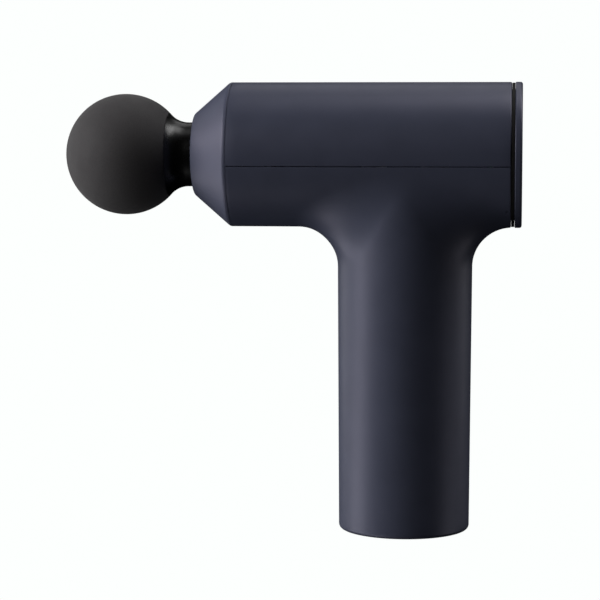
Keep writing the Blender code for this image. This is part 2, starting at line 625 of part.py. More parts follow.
def make_crank():
    """Crank disc with counterweight and eccentric pin, its clip, and the rotor that turns with it."""
    disc_low, disc_high = axis_height(-0.0086), axis_height(-0.0030)
    crank = rod("crank", 0.0090, (0, 0, disc_low), (0, 0, disc_high), ROUND)
    weight = rod("counterweight", 0.0135, (0, 0, disc_low), (0, 0, disc_high), ROUND)
    cut(weight, block("counterweight_trim", (-0.02, -0.0020, disc_low - 0.001),
                      (0.02, 0.02, disc_high + 0.001)))
    join(crank, weight)
    join(crank, rod("pin_shoulder", 0.0036, (0, CRANK_R, disc_high - 0.0005),
                    (0, CRANK_R, axis_height(-0.0026))))
    join(crank, rod("eccentric_pin", CRANK_PIN_R, (0, CRANK_R, disc_high - 0.0010),
                    (0, CRANK_R, axis_height(0.0036))))
    cut(crank, rod("shaft_seat", SHAFT_R + GAP, (0, 0, disc_low - 0.001), (0, 0, axis_height(-0.0052))))
    groove_low, groove_high, groove_r = axis_height(0.00275), axis_height(0.00325), 0.0019
    cut(crank, turned_z("clip_groove", [(groove_r, groove_high), (0.0040, groove_high), (0.0040, groove_low),
                                        (groove_r, groove_low)], SMALL, (0.0, CRANK_R)))
    finish(crank, STEEL)

    clip_low, clip_high = groove_low + 0.0001, groove_high - 0.0001
    clip = turned_z("crank_clip", [(groove_r + 0.0002, clip_high), (0.0042, clip_high), (0.0042, clip_low),
                                   (groove_r + 0.0002, clip_low)], SMALL, (0.0, CRANK_R))
    cut(clip, block("clip_mouth", (-0.0015, CRANK_R, clip_low - 0.001), (0.0015, 0.0100, clip_high + 0.001)))
    finish(clip, STEEL)
    shaft = rod("motor_shaft", SHAFT_R, (0, 0, axis_height(-0.0328)), (0, 0, axis_height(-0.0055)))
    finish(shaft, STEEL)

    rim, floor_top, floor_low = axis_height(-0.0142), axis_height(-0.0310), axis_height(-0.0325)
    bore, inner = SHAFT_R + GAP, BELL_R - 0.0012
    bell = turned_z("rotor_bell", [(bore, floor_top), (inner, floor_top), (inner, rim),
                                   (BELL_R, rim), (BELL_R, floor_low + 0.001),
                                   (BELL_R - 0.001, floor_low), (bore, floor_low)])
    for i in range(4):
        angle = math.pi / 2 * (i + 0.5)
        x, y = 0.0095 * math.cos(angle), 0.0095 * math.sin(angle)
        cut(bell, rod(f"vent_{i}", 0.0026, (x, y, floor_low - 0.001), (x, y, floor_top + 0.001), 10))
    finish(bell, STEEL)
    magnets = turned_z("rotor_magnets", [(0.0134, axis_height(-0.0160)), (inner - GAP, axis_height(-0.0160)),
                                         (inner - GAP, axis_height(-0.0290)), (0.0134, axis_height(-0.0290))])
    finish(magnets, LAMINATION)
    carry(joint_empty("motor_spin", (0.0, 0.0, AXIS_Z)), crank, clip, shaft, bell, magnets)


def make_stator():
    """Six-tooth stator core with its winding, on the tube of the motor base."""
    low, high = axis_height(-0.0270), axis_height(-0.0180)
    teeth, yoke_r, neck_half, shoe_r, rim_r = 6, 0.0083, 0.0015, 0.0119, 0.0129
    shoe_angle = math.radians(23)
    outline = []
    for k in range(teeth):
        middle = 2 * math.pi * k / teeth
        half_yoke, half_shoe = math.asin(neck_half / yoke_r), math.asin(neck_half / shoe_r)
        corners = [(yoke_r, -math.pi / teeth), (yoke_r, -half_yoke)]
        corners += [(shoe_r, -half_shoe), (shoe_r, -shoe_angle)]
        corners += [(rim_r, shoe_angle * step / 2) for step in (-2, -1, 0, 1, 2)]
        corners += [(shoe_r, shoe_angle), (shoe_r, half_shoe), (yoke_r, half_yoke)]
        outline += [(r * math.cos(middle + turn), r * math.sin(middle + turn)) for r, turn in corners]
    bm = bmesh.new()
    face = bm.faces.new([bm.verts.new((x, y, low)) for x, y in outline])
    raised = bmesh.ops.extrude_face_region(bm, geom=[face])
    top = [item for item in raised["geom"] if isinstance(item, bmesh.types.BMVert)]
    bmesh.ops.translate(bm, verts=top, vec=(0.0, 0.0, high - low))
    bmesh.ops.recalc_face_normals(bm, faces=bm.faces)
    core = add_object("stator_core", mesh_from("stator_core", bm))
    cut(core, rod("core_bore", 0.0065, (0, 0, low - 0.001), (0, 0, high + 0.001), 24))
    finish(core, LAMINATION)

    coil_in, coil_out, coil_half, coil_ends = 0.0087, 0.0109, 0.0034, 0.0016
    winding = turned_z("stator_winding", [(0.0094, high + 0.0021), (0.0106, high + 0.0021),
                                          (0.0106, high + 0.0012), (0.0094, high + 0.0012)], 24)
    for k in range(teeth):
        coil = block(f"coil_{k}", (coil_in, -coil_half, low - coil_ends),
                     (coil_out, coil_half, high + coil_ends))
        slot = block(f"coil_window_{k}", (coil_in - 0.001, -neck_half - GAP, low - GAP),
                     (coil_out + 0.001, neck_half + GAP, high + GAP))
        for piece in (coil, slot):
            turn = Matrix.Rotation(2 * math.pi * k / teeth, 4, "Z")
            piece.location = turn @ piece.location
            piece.rotation_euler.z = 2 * math.pi * k / teeth
        join(winding, coil)
        cut(winding, slot)
    finish(winding, COPPER)


def make_motor_base():
    """Motor flange with its bearing tube, two bearings, and the screws that hang it from the frame."""
    tube_r, tube_end, flange_low, bearing_r = 0.0062, -0.0296, -0.0136, 0.0045
    bore = bearing_r + GAP
    base = turned_z("motor_base", [(bore, axis_height(BOSS_TOP)), (0.0120, axis_height(BOSS_TOP)),
                                   (0.0120, axis_height(flange_low)), (tube_r, axis_height(flange_low)),
                                   (tube_r, axis_height(tube_end)), (bore, axis_height(tube_end))])
    for i, (x, y) in enumerate(motor_screw_spots()):
        cut(base, rod(f"flange_hole_{i}", 0.0012, (x, y, axis_height(-0.0150)),
                      (x, y, axis_height(-0.0100)), 12))
        screw(f"motor_screw_{i + 1}", 0.0019, 0.0009, (x, y, axis_height(PLATE_TOP - 0.0002)),
              (x, y, axis_height(PLATE_TOP - 0.0010)), (x, y, axis_height(-0.0134)))
    finish(base, ALUMINIUM)
    for name, low in (("bearing_lower", -0.0293), ("bearing_upper", -0.0156)):
        inner, high = SHAFT_R + GAP, low + 0.0040
        ring = turned_z(name, [(inner, axis_height(high)), (bearing_r, axis_height(high)),
                               (bearing_r, axis_height(low)), (inner, axis_height(low))], 20)
        finish(ring, STEEL)


def motor_screw_spots():
    """Places of the three motor screws, on a circle round the shaft."""
    angles = [math.radians(90 + 120 * i) for i in range(3)]
    return [(MOTOR_SCREW_CIRCLE * math.cos(a), MOTOR_SCREW_CIRCLE * math.sin(a)) for a in angles]


def make_drive_frame():
    """Cast frame that ties the motor to the piston's bush, its screws and its rubber buffer."""
    ring_r, bush_seat, half_width = 0.0165, 0.0123, 0.0115
    plate_low, plate_high = axis_height(PLATE_BOTTOM), axis_height(PLATE_TOP)
    frame = barrel_tube("drive_frame", ring_r, 0.0, -0.0520, -0.0400)
    join(frame, block("frame_knee", (-0.0410, -half_width, axis_height(-0.0155)),
                      (-0.0310, half_width, plate_high)))
    cut(frame, barrel_tube("bush_bore", bush_seat, 0.0, -0.0530, -0.0360))
    split_faces(frame)
    join(frame, block("frame_plate", (-0.0320, -half_width, plate_low), (0.0230, half_width, plate_high)))
    cut(frame, rod("shaft_window", 0.0050, (0, 0, plate_low - 0.001), (0, 0, plate_high + 0.001), 20))
    for i, (x, y) in enumerate(FRAME_FEET):
        cut(frame, rod(f"foot_hole_{i}", SCREW_HOLE_R, (x, y, plate_low - 0.001),
                       (x, y, plate_high + 0.001), 12))
        screw(f"frame_screw_{i + 1}", 0.0023, 0.0010, (x, y, plate_high + 0.0018), (x, y, plate_high + GAP),
              (x, y, plate_low - 0.0048))
    for i, (x, y) in enumerate(motor_screw_spots()):
        cut(frame, rod(f"head_seat_{i}", 0.0022, (x, y, plate_high - 0.0013), (x, y, plate_high + 0.001)))
        cut(frame, rod(f"motor_hole_{i}", 0.0012, (x, y, plate_low - 0.001), (x, y, plate_high - 0.001), 12))
    finish(frame, ALUMINIUM)
    buffer = barrel_tube("front_buffer", SPIGOT_R, ring_r + GAP, -0.0475, -0.0415, ROUND)
    finish(buffer, RUBBER)


# ---------------------------------------------------------------- battery and electronics
def cell_holder(name, radius, low, high, pocket_low, pocket_high):
    """A plug across the handle with a pocket for each battery cell."""
    holder = rod(name, radius, (0, 0, low), (0, 0, high), ROUND)
    for side, x in (("left", -1), ("right", 1)):
        middle = x * (CELL_R + GAP / 2)
        cut(holder, rod(f"{name}_pocket_{side}", CELL_R + GAP, (middle, 0, pocket_low),
                        (middle, 0, pocket_high), 24))
    return holder


def make_battery():
    """Two cells side by side in the handle, their holders and the strip that joins them."""
    top = CELL_BOTTOM + CELL_LENGTH
    for side, x in (("left", -1), ("right", 1)):
        outline = [(0.0, top + 0.0004), (0.0028, top + 0.0004), (0.0028, top), (CELL_R - 0.0008, top),
                   (CELL_R, top - 0.0008), (CELL_R, CELL_BOTTOM), (0.0, CELL_BOTTOM)]
        cell = turned_z(f"battery_cell_{side}", outline, 24, (x * (CELL_R + GAP / 2), 0.0))
        finish(cell, CELL_SLEEVE)
    lower = cell_holder("battery_holder_lower", 0.0181, 0.0080, 0.0180, CELL_BOTTOM - GAP, 0.0190)
    for side, y in BASE_SCREWS.items():
        join(lower, rod(f"holder_boss_{side}", 0.0023, (0, y, 0.0053), (0, y, 0.0085)))
        cut(lower, rod(f"holder_hole_{side}", SCREW_HOLE_R, (0, y, 0.0050), (0, y, 0.0098), 12))
    finish(lower, NYLON)
    ceiling = top + 0.0011
    upper = cell_holder("battery_holder_upper", 0.0183, 0.0680, 0.0790, 0.0670, ceiling)
    cut(upper, block("strip_slot", (-0.0130, -0.0035, top + 0.0001), (0.0130, 0.0035, ceiling)))
    finish(upper, NYLON)
    strip = block("nickel_bridge", (-0.0120, -0.0030, top + 0.0006), (0.0120, 0.0030, top + 0.0008))
    finish(strip, NICKEL)
    board = block("charge_board", (-0.0125, -0.0105, 0.0056), (0.0130, 0.0105, 0.0066))
    join(board, block("charge_chip", (-0.0040, -0.0030, 0.0064), (0.0020, 0.0030, 0.0075)))
    finish(board, BOARD_GREEN)


def make_control_board():
    """Round board behind the motor with its chips, capacitor and lamps; tact switch and screws."""
    board = rod("control_board", 0.0178, (BOARD_FRONT, 0, AXIS_Z), (BOARD_REAR, 0, AXIS_Z), ROUND)
    for i, y in enumerate((-0.0085, 0.0, 0.0085)):
        join(board, block(f"power_chip_{i}", (BOARD_FRONT - 0.0011, y - 0.0025, axis_height(0.0015)),
                          (BOARD_FRONT + 0.0003, y + 0.0025, axis_height(0.0055))))
    join(board, rod("capacitor", 0.0035, (0.0185, 0, axis_height(0.0110)),
                    (BOARD_FRONT + 0.0003, 0, axis_height(0.0110))))
    for i, y in enumerate(LIGHT_YS):
        spot = axis_height(-LIGHT_DROP)
        join(board, block(f"lamp_{i}", (BOARD_REAR - 0.0003, y - 0.0008, spot - 0.0008),
                          (BOARD_REAR + 0.0008, y + 0.0008, spot + 0.0008)))
    for side, y in BOARD_POSTS.items():
        cut(board, rod(f"board_hole_{side}", SCREW_HOLE_R, (BOARD_FRONT - 0.001, y, AXIS_Z),
                       (BOARD_REAR + 0.001, y, AXIS_Z), 12))
        screw(f"board_screw_{side}", 0.0022, 0.0010, (BOARD_FRONT - 0.0017, y, AXIS_Z),
              (BOARD_FRONT - GAP, y, AXIS_Z), (0.0315, y, AXIS_Z))
    finish(board, BOARD_GREEN)
    switch_front = BOARD_REAR + GAP
    switch = block("tact_switch", (switch_front, -0.0030, axis_height(-0.0030)),
                   (switch_front + 0.0022, 0.0030, axis_height(0.0030)))
    join(switch, rod("switch_plunger", 0.0016, (switch_front + 0.0020, 0, AXIS_Z),
                     (BUTTON_STEM_FRONT - 0.0006, 0, AXIS_Z), 16))
    finish(switch, NYLON)


def make_leads():
    """Short leads from the battery and the motor to the control board."""
    lead_r = 0.0007
    start = 0.0794
    red = [(0.0045, -0.0169, start), (0.0045, -0.0169, axis_height(-0.0240)),
           (0.0055, -0.0163, axis_height(-0.0165)), (0.0100, -0.0147, axis_height(-0.0125)),
           (0.0170, -0.0137, axis_height(-0.0118)), (0.0215, -0.0131, axis_height(-0.0090)),
           (0.0243, -0.0125, axis_height(-0.0070))]
    black = [(0.0075, -0.0158, start), (0.0075, -0.0158, axis_height(-0.0260)),
             (0.0088, -0.0150, axis_height(-0.0190)), (0.0130, -0.0132, axis_height(-0.0146)),
             (0.0180, -0.0127, axis_height(-0.0138)), (0.0218, -0.0124, axis_height(-0.0122)),
             (0.0243, -0.0120, axis_height(-0.0108))]
    finish(tube_along("battery_lead_red", smooth_route(red, 2), lead_r, 1), RED_WIRE)
    finish(tube_along("battery_lead_black", smooth_route(black, 2), lead_r, 1), BLACK_WIRE)
    level = axis_height(-0.0127)
    motor = [(0.0127, 0.0, level), (0.0170, 0.0, level), (0.0210, 0.0, level - 0.0003), (0.0245, 0.0, level)]
    finish(tube_along("motor_lead", smooth_route(motor, 2), 0.0010, 1), YELLOW_WIRE)


make_main_housing()
make_top_cover()
make_nose_collar()
make_seals()
make_rear_cap()
make_button()
make_speed_lights()
make_base()
make_head()
make_piston()
make_connecting_rod()
make_crank()
make_stator()
make_motor_base()
make_drive_frame()
make_battery()
make_control_board()
make_leads()
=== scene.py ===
"""Looks for a compact percussion massage gun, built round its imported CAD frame.

Metres, +Z up. The handle stands on the floor at the origin, the nose points along -X and the barrel's
axis is parallel to X. Smooth, detailed pieces stand for the casing and the head; the drive, the battery
and the electronics keep their CAD shapes and get procedural materials.
"""
import json
import math

import bmesh
import bpy
from mathutils import Matrix, Vector


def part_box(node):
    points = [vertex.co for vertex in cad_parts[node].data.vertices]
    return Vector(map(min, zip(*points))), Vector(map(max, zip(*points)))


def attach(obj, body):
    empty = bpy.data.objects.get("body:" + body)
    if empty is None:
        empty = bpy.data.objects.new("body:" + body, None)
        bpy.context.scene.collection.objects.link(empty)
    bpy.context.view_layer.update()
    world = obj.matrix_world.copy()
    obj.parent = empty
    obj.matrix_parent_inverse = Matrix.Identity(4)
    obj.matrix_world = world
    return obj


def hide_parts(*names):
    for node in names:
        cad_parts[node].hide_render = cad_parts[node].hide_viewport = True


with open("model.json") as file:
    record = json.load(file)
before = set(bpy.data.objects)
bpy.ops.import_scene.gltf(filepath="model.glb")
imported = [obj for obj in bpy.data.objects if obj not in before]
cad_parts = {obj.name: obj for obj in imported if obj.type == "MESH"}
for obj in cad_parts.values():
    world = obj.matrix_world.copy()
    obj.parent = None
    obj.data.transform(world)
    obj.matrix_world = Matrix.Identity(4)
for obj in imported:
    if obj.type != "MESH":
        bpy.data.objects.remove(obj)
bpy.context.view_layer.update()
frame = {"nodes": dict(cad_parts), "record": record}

# ---------------------------------------------------------------- sizes read from the frame
MM = 0.001


def span(node):
    """Lowest and highest corner of a CAD node."""
    low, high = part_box(node)
    return Vector(low), Vector(high)


collar_low, collar_high = span("nose_collar")
cover_low, cover_high = span("top_cover")
cap_low, cap_high = span("rear_cap")
button_low, button_high = span("power_button")
ball_low, ball_high = span("ball_head")
stem_low, stem_high = span("head_stem")
gasket_low, gasket_high = span("rear_gasket")
seal_low, seal_high = span("dust_seal")
base_high = span("base_cap")[1]
usb_low, usb_high = span("usb_socket")
lamp_low, lamp_high = span("charge_light")

AXIS_Z = (collar_low.z + collar_high.z) / 2
BARREL_R = (collar_high.z - collar_low.z) / 2
BARREL_FRONT = cover_low.x
BARREL_REAR = cover_high.x
BALL_R = (ball_high.z - ball_low.z) / 2
BALL_X = ball_low.x + BALL_R
CAP_R = (cap_high.z - cap_low.z) / 2
CAP_REAR = cap_high.x

# ---------------------------------------------------------------- sizes the part is drawn to
GAP = 0.3 * MM                   # clearance between mouldings
SEAM_GAP = 0.20 * MM             # visible width of the parting line
BARREL_WALL = 1.8 * MM
SPIGOT_R = BARREL_R - 2.1 * MM
GASKET_GAP = 0.06 * MM           # the gasket's clearance in its groove
SEAM_DROP = 3.2 * MM             # parting line, below the barrel's axis
HANDLE_BASE_R = 20.0 * MM
HANDLE_TOP_R = 20.5 * MM
HANDLE_WALL = 1.6 * MM
BASE_EDGE_R = 1.4 * MM
BLEND_R = 12.0 * MM              # fillet between handle and barrel, in front of and behind the handle
BLEND_SWELL = 1.8                # how much larger that fillet is at the handle's two sides
SEAM_EDGE_R = 0.10 * MM          # rounding along the parting line
END_EDGE_R = 0.40 * MM           # rounding of the barrel's rear end
COLLAR_MOUTH_R = 10.5 * MM
COLLAR_FRONT_R = 12.44 * MM
COLLAR_CORNER = BARREL_FRONT - 1.0 * MM
COLLAR_LIP = 2.15 * MM           # thickness of the lip round the collar's mouth
COLLAR_CONE = 9.65 * MM          # depth at which the collar's bore has widened to its spigot
COLLAR_BORE_R = 11.7 * MM
COLLAR_SPIGOT_END = BARREL_FRONT + 3.9 * MM
COLLAR_SPIGOT_WALL = 1.6 * MM
SEAL_BORE_R = 10.1 * MM
SEAL_R = 11.5 * MM
CAP_FRONT = CAP_REAR - 2.14 * MM
CAP_SPIGOT = 4.5 * MM            # how far the rear cap reaches into the barrel
CAP_SPIGOT_WALL = 1.5 * MM
BUTTON_R = 8.0 * MM
BUTTON_FLANGE_R = 9.2 * MM
BUTTON_STUD_R = 1.6 * MM         # stud that presses the switch
BUTTON_STUD = 1.0 * MM
BUTTON_RIM = 1.3 * MM            # flat rim round the button's hollow
BUTTON_DISH = 0.35 * MM          # depth of that hollow
BASE_PLATE = 2.6 * MM
BASE_RIM_WALL = 1.2 * MM
INLET_HALF = Vector((1.65 * MM, 4.6 * MM))
INLET_CORNER_R = 1.2 * MM
LAMP_HOLE_R = 1.1 * MM
SCREW_R = 1.0 * MM
SCREW_HEAD_R = 2.0 * MM
SCREW_HEAD = (0.2 * MM, 1.1 * MM)  # heights of the head's face and underside
SCREW_HOLE_R = 1.3 * MM
SCREW_SEAT_R = 2.3 * MM
SCREW_SEAT = 1.4 * MM            # depth of the recess round the head
CROSS_ARM = 1.35 * MM            # half length, half width and depth of the cross recess
CROSS_HALF = 0.3 * MM
CROSS_DEPTH = 0.75 * MM
NECK_R = 9.8 * MM
NECK_START = BALL_X + 19.5 * MM
STEM_SEAM_R = 12.7 * MM          # where the ball ends and the glossy stem begins
STEM_SEAM_X = BALL_X + math.sqrt(BALL_R ** 2 - STEM_SEAM_R ** 2)
STEM_GAP = 0.12 * MM             # between the ball's seam and the stem
STEM_CORE_R = 9.0 * MM
PLUG_FRONT = BALL_X + 26.0 * MM
PLUG_R = 7.3 * MM
RING_START = 4.5 * MM            # first rubber ring, behind the plug's shoulder
RING_PITCH = 7.0 * MM
RING_R = 0.6 * MM
RING_GROOVE = 0.95 * MM          # half width and depth of the grooves the rings sit in
RING_GROOVE_DEPTH = 1.2 * MM
LIGHT_R = 0.9 * MM
LIGHT_GAP = 0.12 * MM            # clearance round each speed light
FLOOR_DROP = 0.1 * MM            # how far the floor lies below the base

SPOKE_STEP = math.radians(2.0)   # widest angle between two spokes of the housing
FREE_STEP = math.radians(0.1)    # search step for the spoke whose fillet just ends at the barrel's rear
FAN_STEPS = 16                   # spokes that fan out from there up to the rear corner
FOOT_STEPS = 8                   # steps in the rounded foot of the handle
OUTER_STEPS = (24, 44)           # steps up the handle and along the blend, on the housing's outside
INNER_STEPS = (6, 14)            # the same on its inside
COVER_STEPS = (24, 112)          # steps along and across the cover
SHARE_STEP = 0.002               # search step for the share of a fillet in front of the barrel's rear
LEAST_SHARE = 0.5
EDGE_STEPS = 5                   # steps in a rounded edge of the housing and its cover
TURN_STEPS = 180                 # steps round the turned pieces
HOLE_STEPS = 48                  # steps round small holes
SCREW_STEPS = 64
RING_STEPS = 96
ARC_STEPS = 6                    # steps in a rounded edge of a turned piece
ARC_SUPPORT = 0.4                # distance from such an edge to its support points, in its own radii
BALL_STEPS = 72                  # steps along the ball's outline
FLARE_STEPS = 24                 # steps along the stem's flare
DISH_STEPS = 16                  # steps across the button's hollow
BEAD_STEPS = 16                  # steps round the section of a rubber ring


# ---------------------------------------------------------------- mesh helpers
def new_piece(name, bm, sharp_angle=35.0):
    """Turn a bmesh into a smooth-shaded object; edges steeper than the angle stay sharp."""
    bmesh.ops.recalc_face_normals(bm, faces=bm.faces)
    mesh = bpy.data.meshes.new(name)
    bm.to_mesh(mesh)
    bm.free()
    mesh.shade_smooth()
    mesh.set_sharp_from_angle(angle=math.radians(sharp_angle))
    piece = bpy.data.objects.new(name, mesh)
    bpy.context.scene.collection.objects.link(piece)
    return piece


def install(piece, body, look, slot, *nodes):
    """Give a piece its material and its body, and hide the CAD nodes it stands for. The slot argument is not
    used.
    """
    piece.data.materials.append(look)
    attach(piece, body)
    if nodes:
        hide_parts(*nodes)
    return piece


def softened(corners, closed=True):
    """An outline of (x, radius, rounding) corners as points, with an arc at each rounded corner.

    A point just before and after each arc keeps the shading of the straight stretches even.
    """
    points = []
    count = len(corners)
    for i, (x, radius, rounding) in enumerate(corners):
        here = Vector((x, radius))
        if rounding == 0.0 or (not closed and i in (0, count - 1)):
            points.append(tuple(here))
            continue
        back = (Vector(corners[i - 1][:2]) - here).normalized()
        forth = (Vector(corners[(i + 1) % count][:2]) - here).normalized()
        half = back.angle(forth) / 2
        reach = rounding / math.tan(half)
        centre = here + (back + forth).normalized() * rounding / math.sin(half)
        first, last = here + back * reach - centre, here + forth * reach - centre
        turn = first.angle_signed(last)
        support = ARC_SUPPORT * rounding
        points.append(tuple(here + back * (reach + support)))
        for k in range(ARC_STEPS + 1):
            spoke = first.copy()
            spoke.rotate(Matrix.Rotation(-turn * k / ARC_STEPS, 2))
            points.append(tuple(centre + spoke))
        points.append(tuple(here + forth * (reach + support)))
    return points


def turned(name, outline, upright=False, middle=(0.0, 0.0), steps=TURN_STEPS):
    """(place along the axis, radius) points turned round the barrel's axis, or an upright one.

    A point of radius 0 closes the form on its axis. Otherwise the outline is a closed loop.
    """
    bm = bmesh.new()
    rings = []
    for along, radius in outline:
        spots = []
        for i in range(steps if radius > 0.0 else 1):
            angle = 2 * math.pi * i / steps
            side, rise = radius * math.sin(angle), radius * math.cos(angle)
            if upright:
                spots.append(Vector((middle[0] + rise, middle[1] + side, along)))
            else:
                spots.append(Vector((along, side, AXIS_Z + rise)))
        rings.append([bm.verts.new(spot) for spot in spots])
    pairs = list(zip(rings, rings[1:]))
    if len(rings[0]) > 1:
        pairs.append((rings[-1], rings[0]))
    for first, second in pairs:
        for i in range(steps):
            j = (i + 1) % steps
            corners = [first[i % len(first)], first[j % len(first)]]
            corners += [second[j % len(second)], second[i % len(second)]]
            bm.faces.new(list(dict.fromkeys(corners)))
    return new_piece(name, bm)


def bridge(bm, loops):
    """Faces between neighbouring closed loops of vertices."""
    for first, second in zip(loops, loops[1:]):
        for i in range(len(first)):
            j = (i + 1) % len(first)
            bm.faces.new((first[i], first[j], second[j], second[i]))


def rounded_box(name, low, high, rounding, segments):
    """A box with rounded edges, as a mesh with its modifier applied."""
    low, high = Vector(low), Vector(high)
    bm = bmesh.new()
    place = Matrix.Translation((low + high) / 2) @ Matrix.Diagonal((*(high - low), 1.0))
    bmesh.ops.create_cube(bm, size=1.0, matrix=place)
    bmesh.ops.bevel(bm, geom=bm.edges[:], offset=rounding, segments=segments, profile=0.5, affect="EDGES")
    return new_piece(name, bm)


def carve(piece, *tools):
    """Cut tools out of a piece for good, and remove them."""
    for tool in tools:
        cutter = piece.modifiers.new("carve", "BOOLEAN")
        cutter.operation = "DIFFERENCE"
        cutter.solver = "EXACT"
        cutter.object = tool
    bpy.context.view_layer.update()
    mesh = bpy.data.meshes.new_from_object(piece.evaluated_get(bpy.context.evaluated_depsgraph_get()))
    piece.modifiers.clear()
    piece.data = mesh
    mesh.set_sharp_from_angle(angle=math.radians(35.0))
    for tool in tools:
        bpy.data.objects.remove(tool, do_unlink=True)
    return piece


# ---------------------------------------------------------------- material helpers
class Look:
    """A Principled material whose textures are placed in the object's own metres."""

    def __init__(self, name):
        self.material = bpy.data.materials.new(name)
        self.material.use_nodes = True
        self.nodes = self.material.node_tree.nodes
        self.links = self.material.node_tree.links
        self.shader = self.nodes["Principled BSDF"]
        self.place = self.nodes.new("ShaderNodeTexCoord").outputs["Object"]
        self.normal = None

    def set(self, **values):
        """Set plain numbers on the shader, such as Roughness or IOR."""
        for socket, value in values.items():
            self.shader.inputs[socket.replace("_", " ")].default_value = value

    def noise(self, size, detail=3.0, stretch=(1.0, 1.0, 1.0), roughness=0.5):
        """Noise whose features are about this many metres across, drawn out along an axis by stretch."""
        scaled = self.nodes.new("ShaderNodeVectorMath")
        scaled.operation = "MULTIPLY"
        scaled.inputs[1].default_value = stretch
        self.links.new(self.place, scaled.inputs[0])
        texture = self.nodes.new("ShaderNodeTexNoise")
        texture.inputs["Scale"].default_value = 1.0 / size
        texture.inputs["Detail"].default_value = detail
        texture.inputs["Roughness"].default_value = roughness
        self.links.new(scaled.outputs[0], texture.inputs["Vector"])
        return texture.outputs["Fac"]

    def cells(self, size):
        """Distance to the nearest of scattered points, for pits and grains."""
        texture = self.nodes.new("ShaderNodeTexVoronoi")
        texture.inputs["Scale"].default_value = 1.0 / size
        self.links.new(self.place, texture.inputs["Vector"])
        return texture.outputs["Distance"]

    def bands(self, pitch, direction="Z"):
        """Even bands across an axis."""
        texture = self.nodes.new("ShaderNodeTexWave")
        texture.bands_direction = direction
        texture.inputs["Scale"].default_value = math.pi / 10 / pitch
        texture.inputs["Distortion"].default_value = 0.0
        self.links.new(self.place, texture.inputs["Vector"])
        return texture.outputs["Fac"]

    def between(self, value, low, high, soft_low=0.3, soft_high=0.7):
        """Map a 0 to 1 value onto a range, over the part of it where noise lives."""
        ranged = self.nodes.new("ShaderNodeMapRange")
        ranged.inputs["From Min"].default_value = soft_low
        ranged.inputs["From Max"].default_value = soft_high
        ranged.inputs["To Min"].default_value = low
        ranged.inputs["To Max"].default_value = high
        self.links.new(value, ranged.inputs["Value"])
        return ranged.outputs["Result"]

    def tint(self, value, first, second, soft_low=0.3, soft_high=0.7):
        """Colour that runs from first to second with a value."""
        ramp = self.nodes.new("ShaderNodeValToRGB")
        ramp.color_ramp.elements[0].position = soft_low
        ramp.color_ramp.elements[0].color = (*first, 1.0)
        ramp.color_ramp.elements[1].position = soft_high
        ramp.color_ramp.elements[1].color = (*second, 1.0)
        self.links.new(value, ramp.inputs["Fac"])
        self.links.new(ramp.outputs["Color"], self.shader.inputs["Base Color"])

    def rough(self, value, low, high):
        """Roughness that varies with a value."""
        self.links.new(self.between(value, low, high), self.shader.inputs["Roughness"])

    def relief(self, value, depth):
        """Bump of a real depth in metres; several reliefs add up."""
        bump = self.nodes.new("ShaderNodeBump")
        bump.inputs["Strength"].default_value = 1.0
        bump.inputs["Distance"].default_value = depth
        self.links.new(value, bump.inputs["Height"])
        if self.normal is not None:
            self.links.new(self.normal, bump.inputs["Normal"])
        self.normal = bump.outputs["Normal"]
        self.links.new(self.normal, self.shader.inputs["Normal"])


def shade(colour, factor):
    """A colour made lighter or darker."""
    return tuple(channel * factor for channel in colour)


def moulded_plastic(name, colour, roughness, grain=0.35 * MM, depth=0.004 * MM, mottle=0.05,
                    gloss_tint=(1.0, 1.0, 1.0)):
    """Moulded plastic: fine spark-eroded grain, faint mottling and a slightly uneven polish."""
    look = Look(name)
    look.set(IOR=1.5, Specular_Tint=(*gloss_tint, 1.0))
    look.tint(look.noise(9 * MM, 2.0), shade(colour, 1 - mottle), shade(colour, 1 + mottle))
    look.rough(look.noise(4 * MM, 3.0), roughness - 0.02, roughness + 0.02)
    look.relief(look.noise(grain, 2.0), depth)
    return look.material


def dense_foam(name, colour):
    """Closed-cell foam: small open pits, painted darker than the skin round them (painted shade), a soft
    dusty skin and faint turning marks.
    """
    look = Look(name)
    look.set(IOR=1.35, Sheen_Weight=0.08, Sheen_Roughness=0.5)
    # painted shade: the colour darkens towards the middle of each pit, on the cells that also sink the pits
    look.tint(look.cells(0.45 * MM), shade(colour, 0.88), shade(colour, 1.08), 0.05, 0.5)
    look.rough(look.noise(3 * MM), 0.68, 0.78)
    look.relief(look.cells(0.45 * MM), 0.012 * MM)
    look.relief(look.bands(0.9 * MM, "X"), 0.006 * MM)
    return look.material


def soft_rubber(name, colour, roughness=0.6):
    """Rubber: matt, with fine grain and a trace of bloom."""
    look = Look(name)
    look.set(IOR=1.4, Specular_IOR_Level=0.3)
    look.tint(look.noise(2 * MM, 4.0), shade(colour, 0.8), shade(colour, 1.3))
    look.rough(look.noise(1.5 * MM), roughness - 0.06, roughness + 0.08)
    look.relief(look.noise(0.2 * MM, 2.0), 0.006 * MM)
    return look.material


def worked_metal(name, colour, roughness, grain=0.25 * MM, stretch=(1.0, 1.0, 1.0), depth=0.004 * MM):
    """Bare metal: tool marks drawn out along one axis, with stains and an uneven polish."""
    look = Look(name)
    look.set(Metallic=1.0)
    look.tint(look.noise(5 * MM, 4.0), shade(colour, 0.85), shade(colour, 1.1))
    look.rough(look.noise(1.2 * MM, 4.0, stretch), roughness - 0.08, roughness + 0.10)
    look.relief(look.noise(grain, 2.0, stretch), depth)
    return look.material


def stacked_sheets(name, colour, pitch=0.35 * MM):
    """Thin steel sheets stacked along Z, with a dark line between them."""
    look = Look(name)
    look.set(Metallic=0.9)
    sheets = look.bands(pitch)
    look.tint(sheets, shade(colour, 0.45), shade(colour, 1.2), 0.05, 0.4)
    look.rough(look.noise(1.0 * MM), 0.38, 0.52)
    look.relief(sheets, 0.03 * MM)
    return look.material


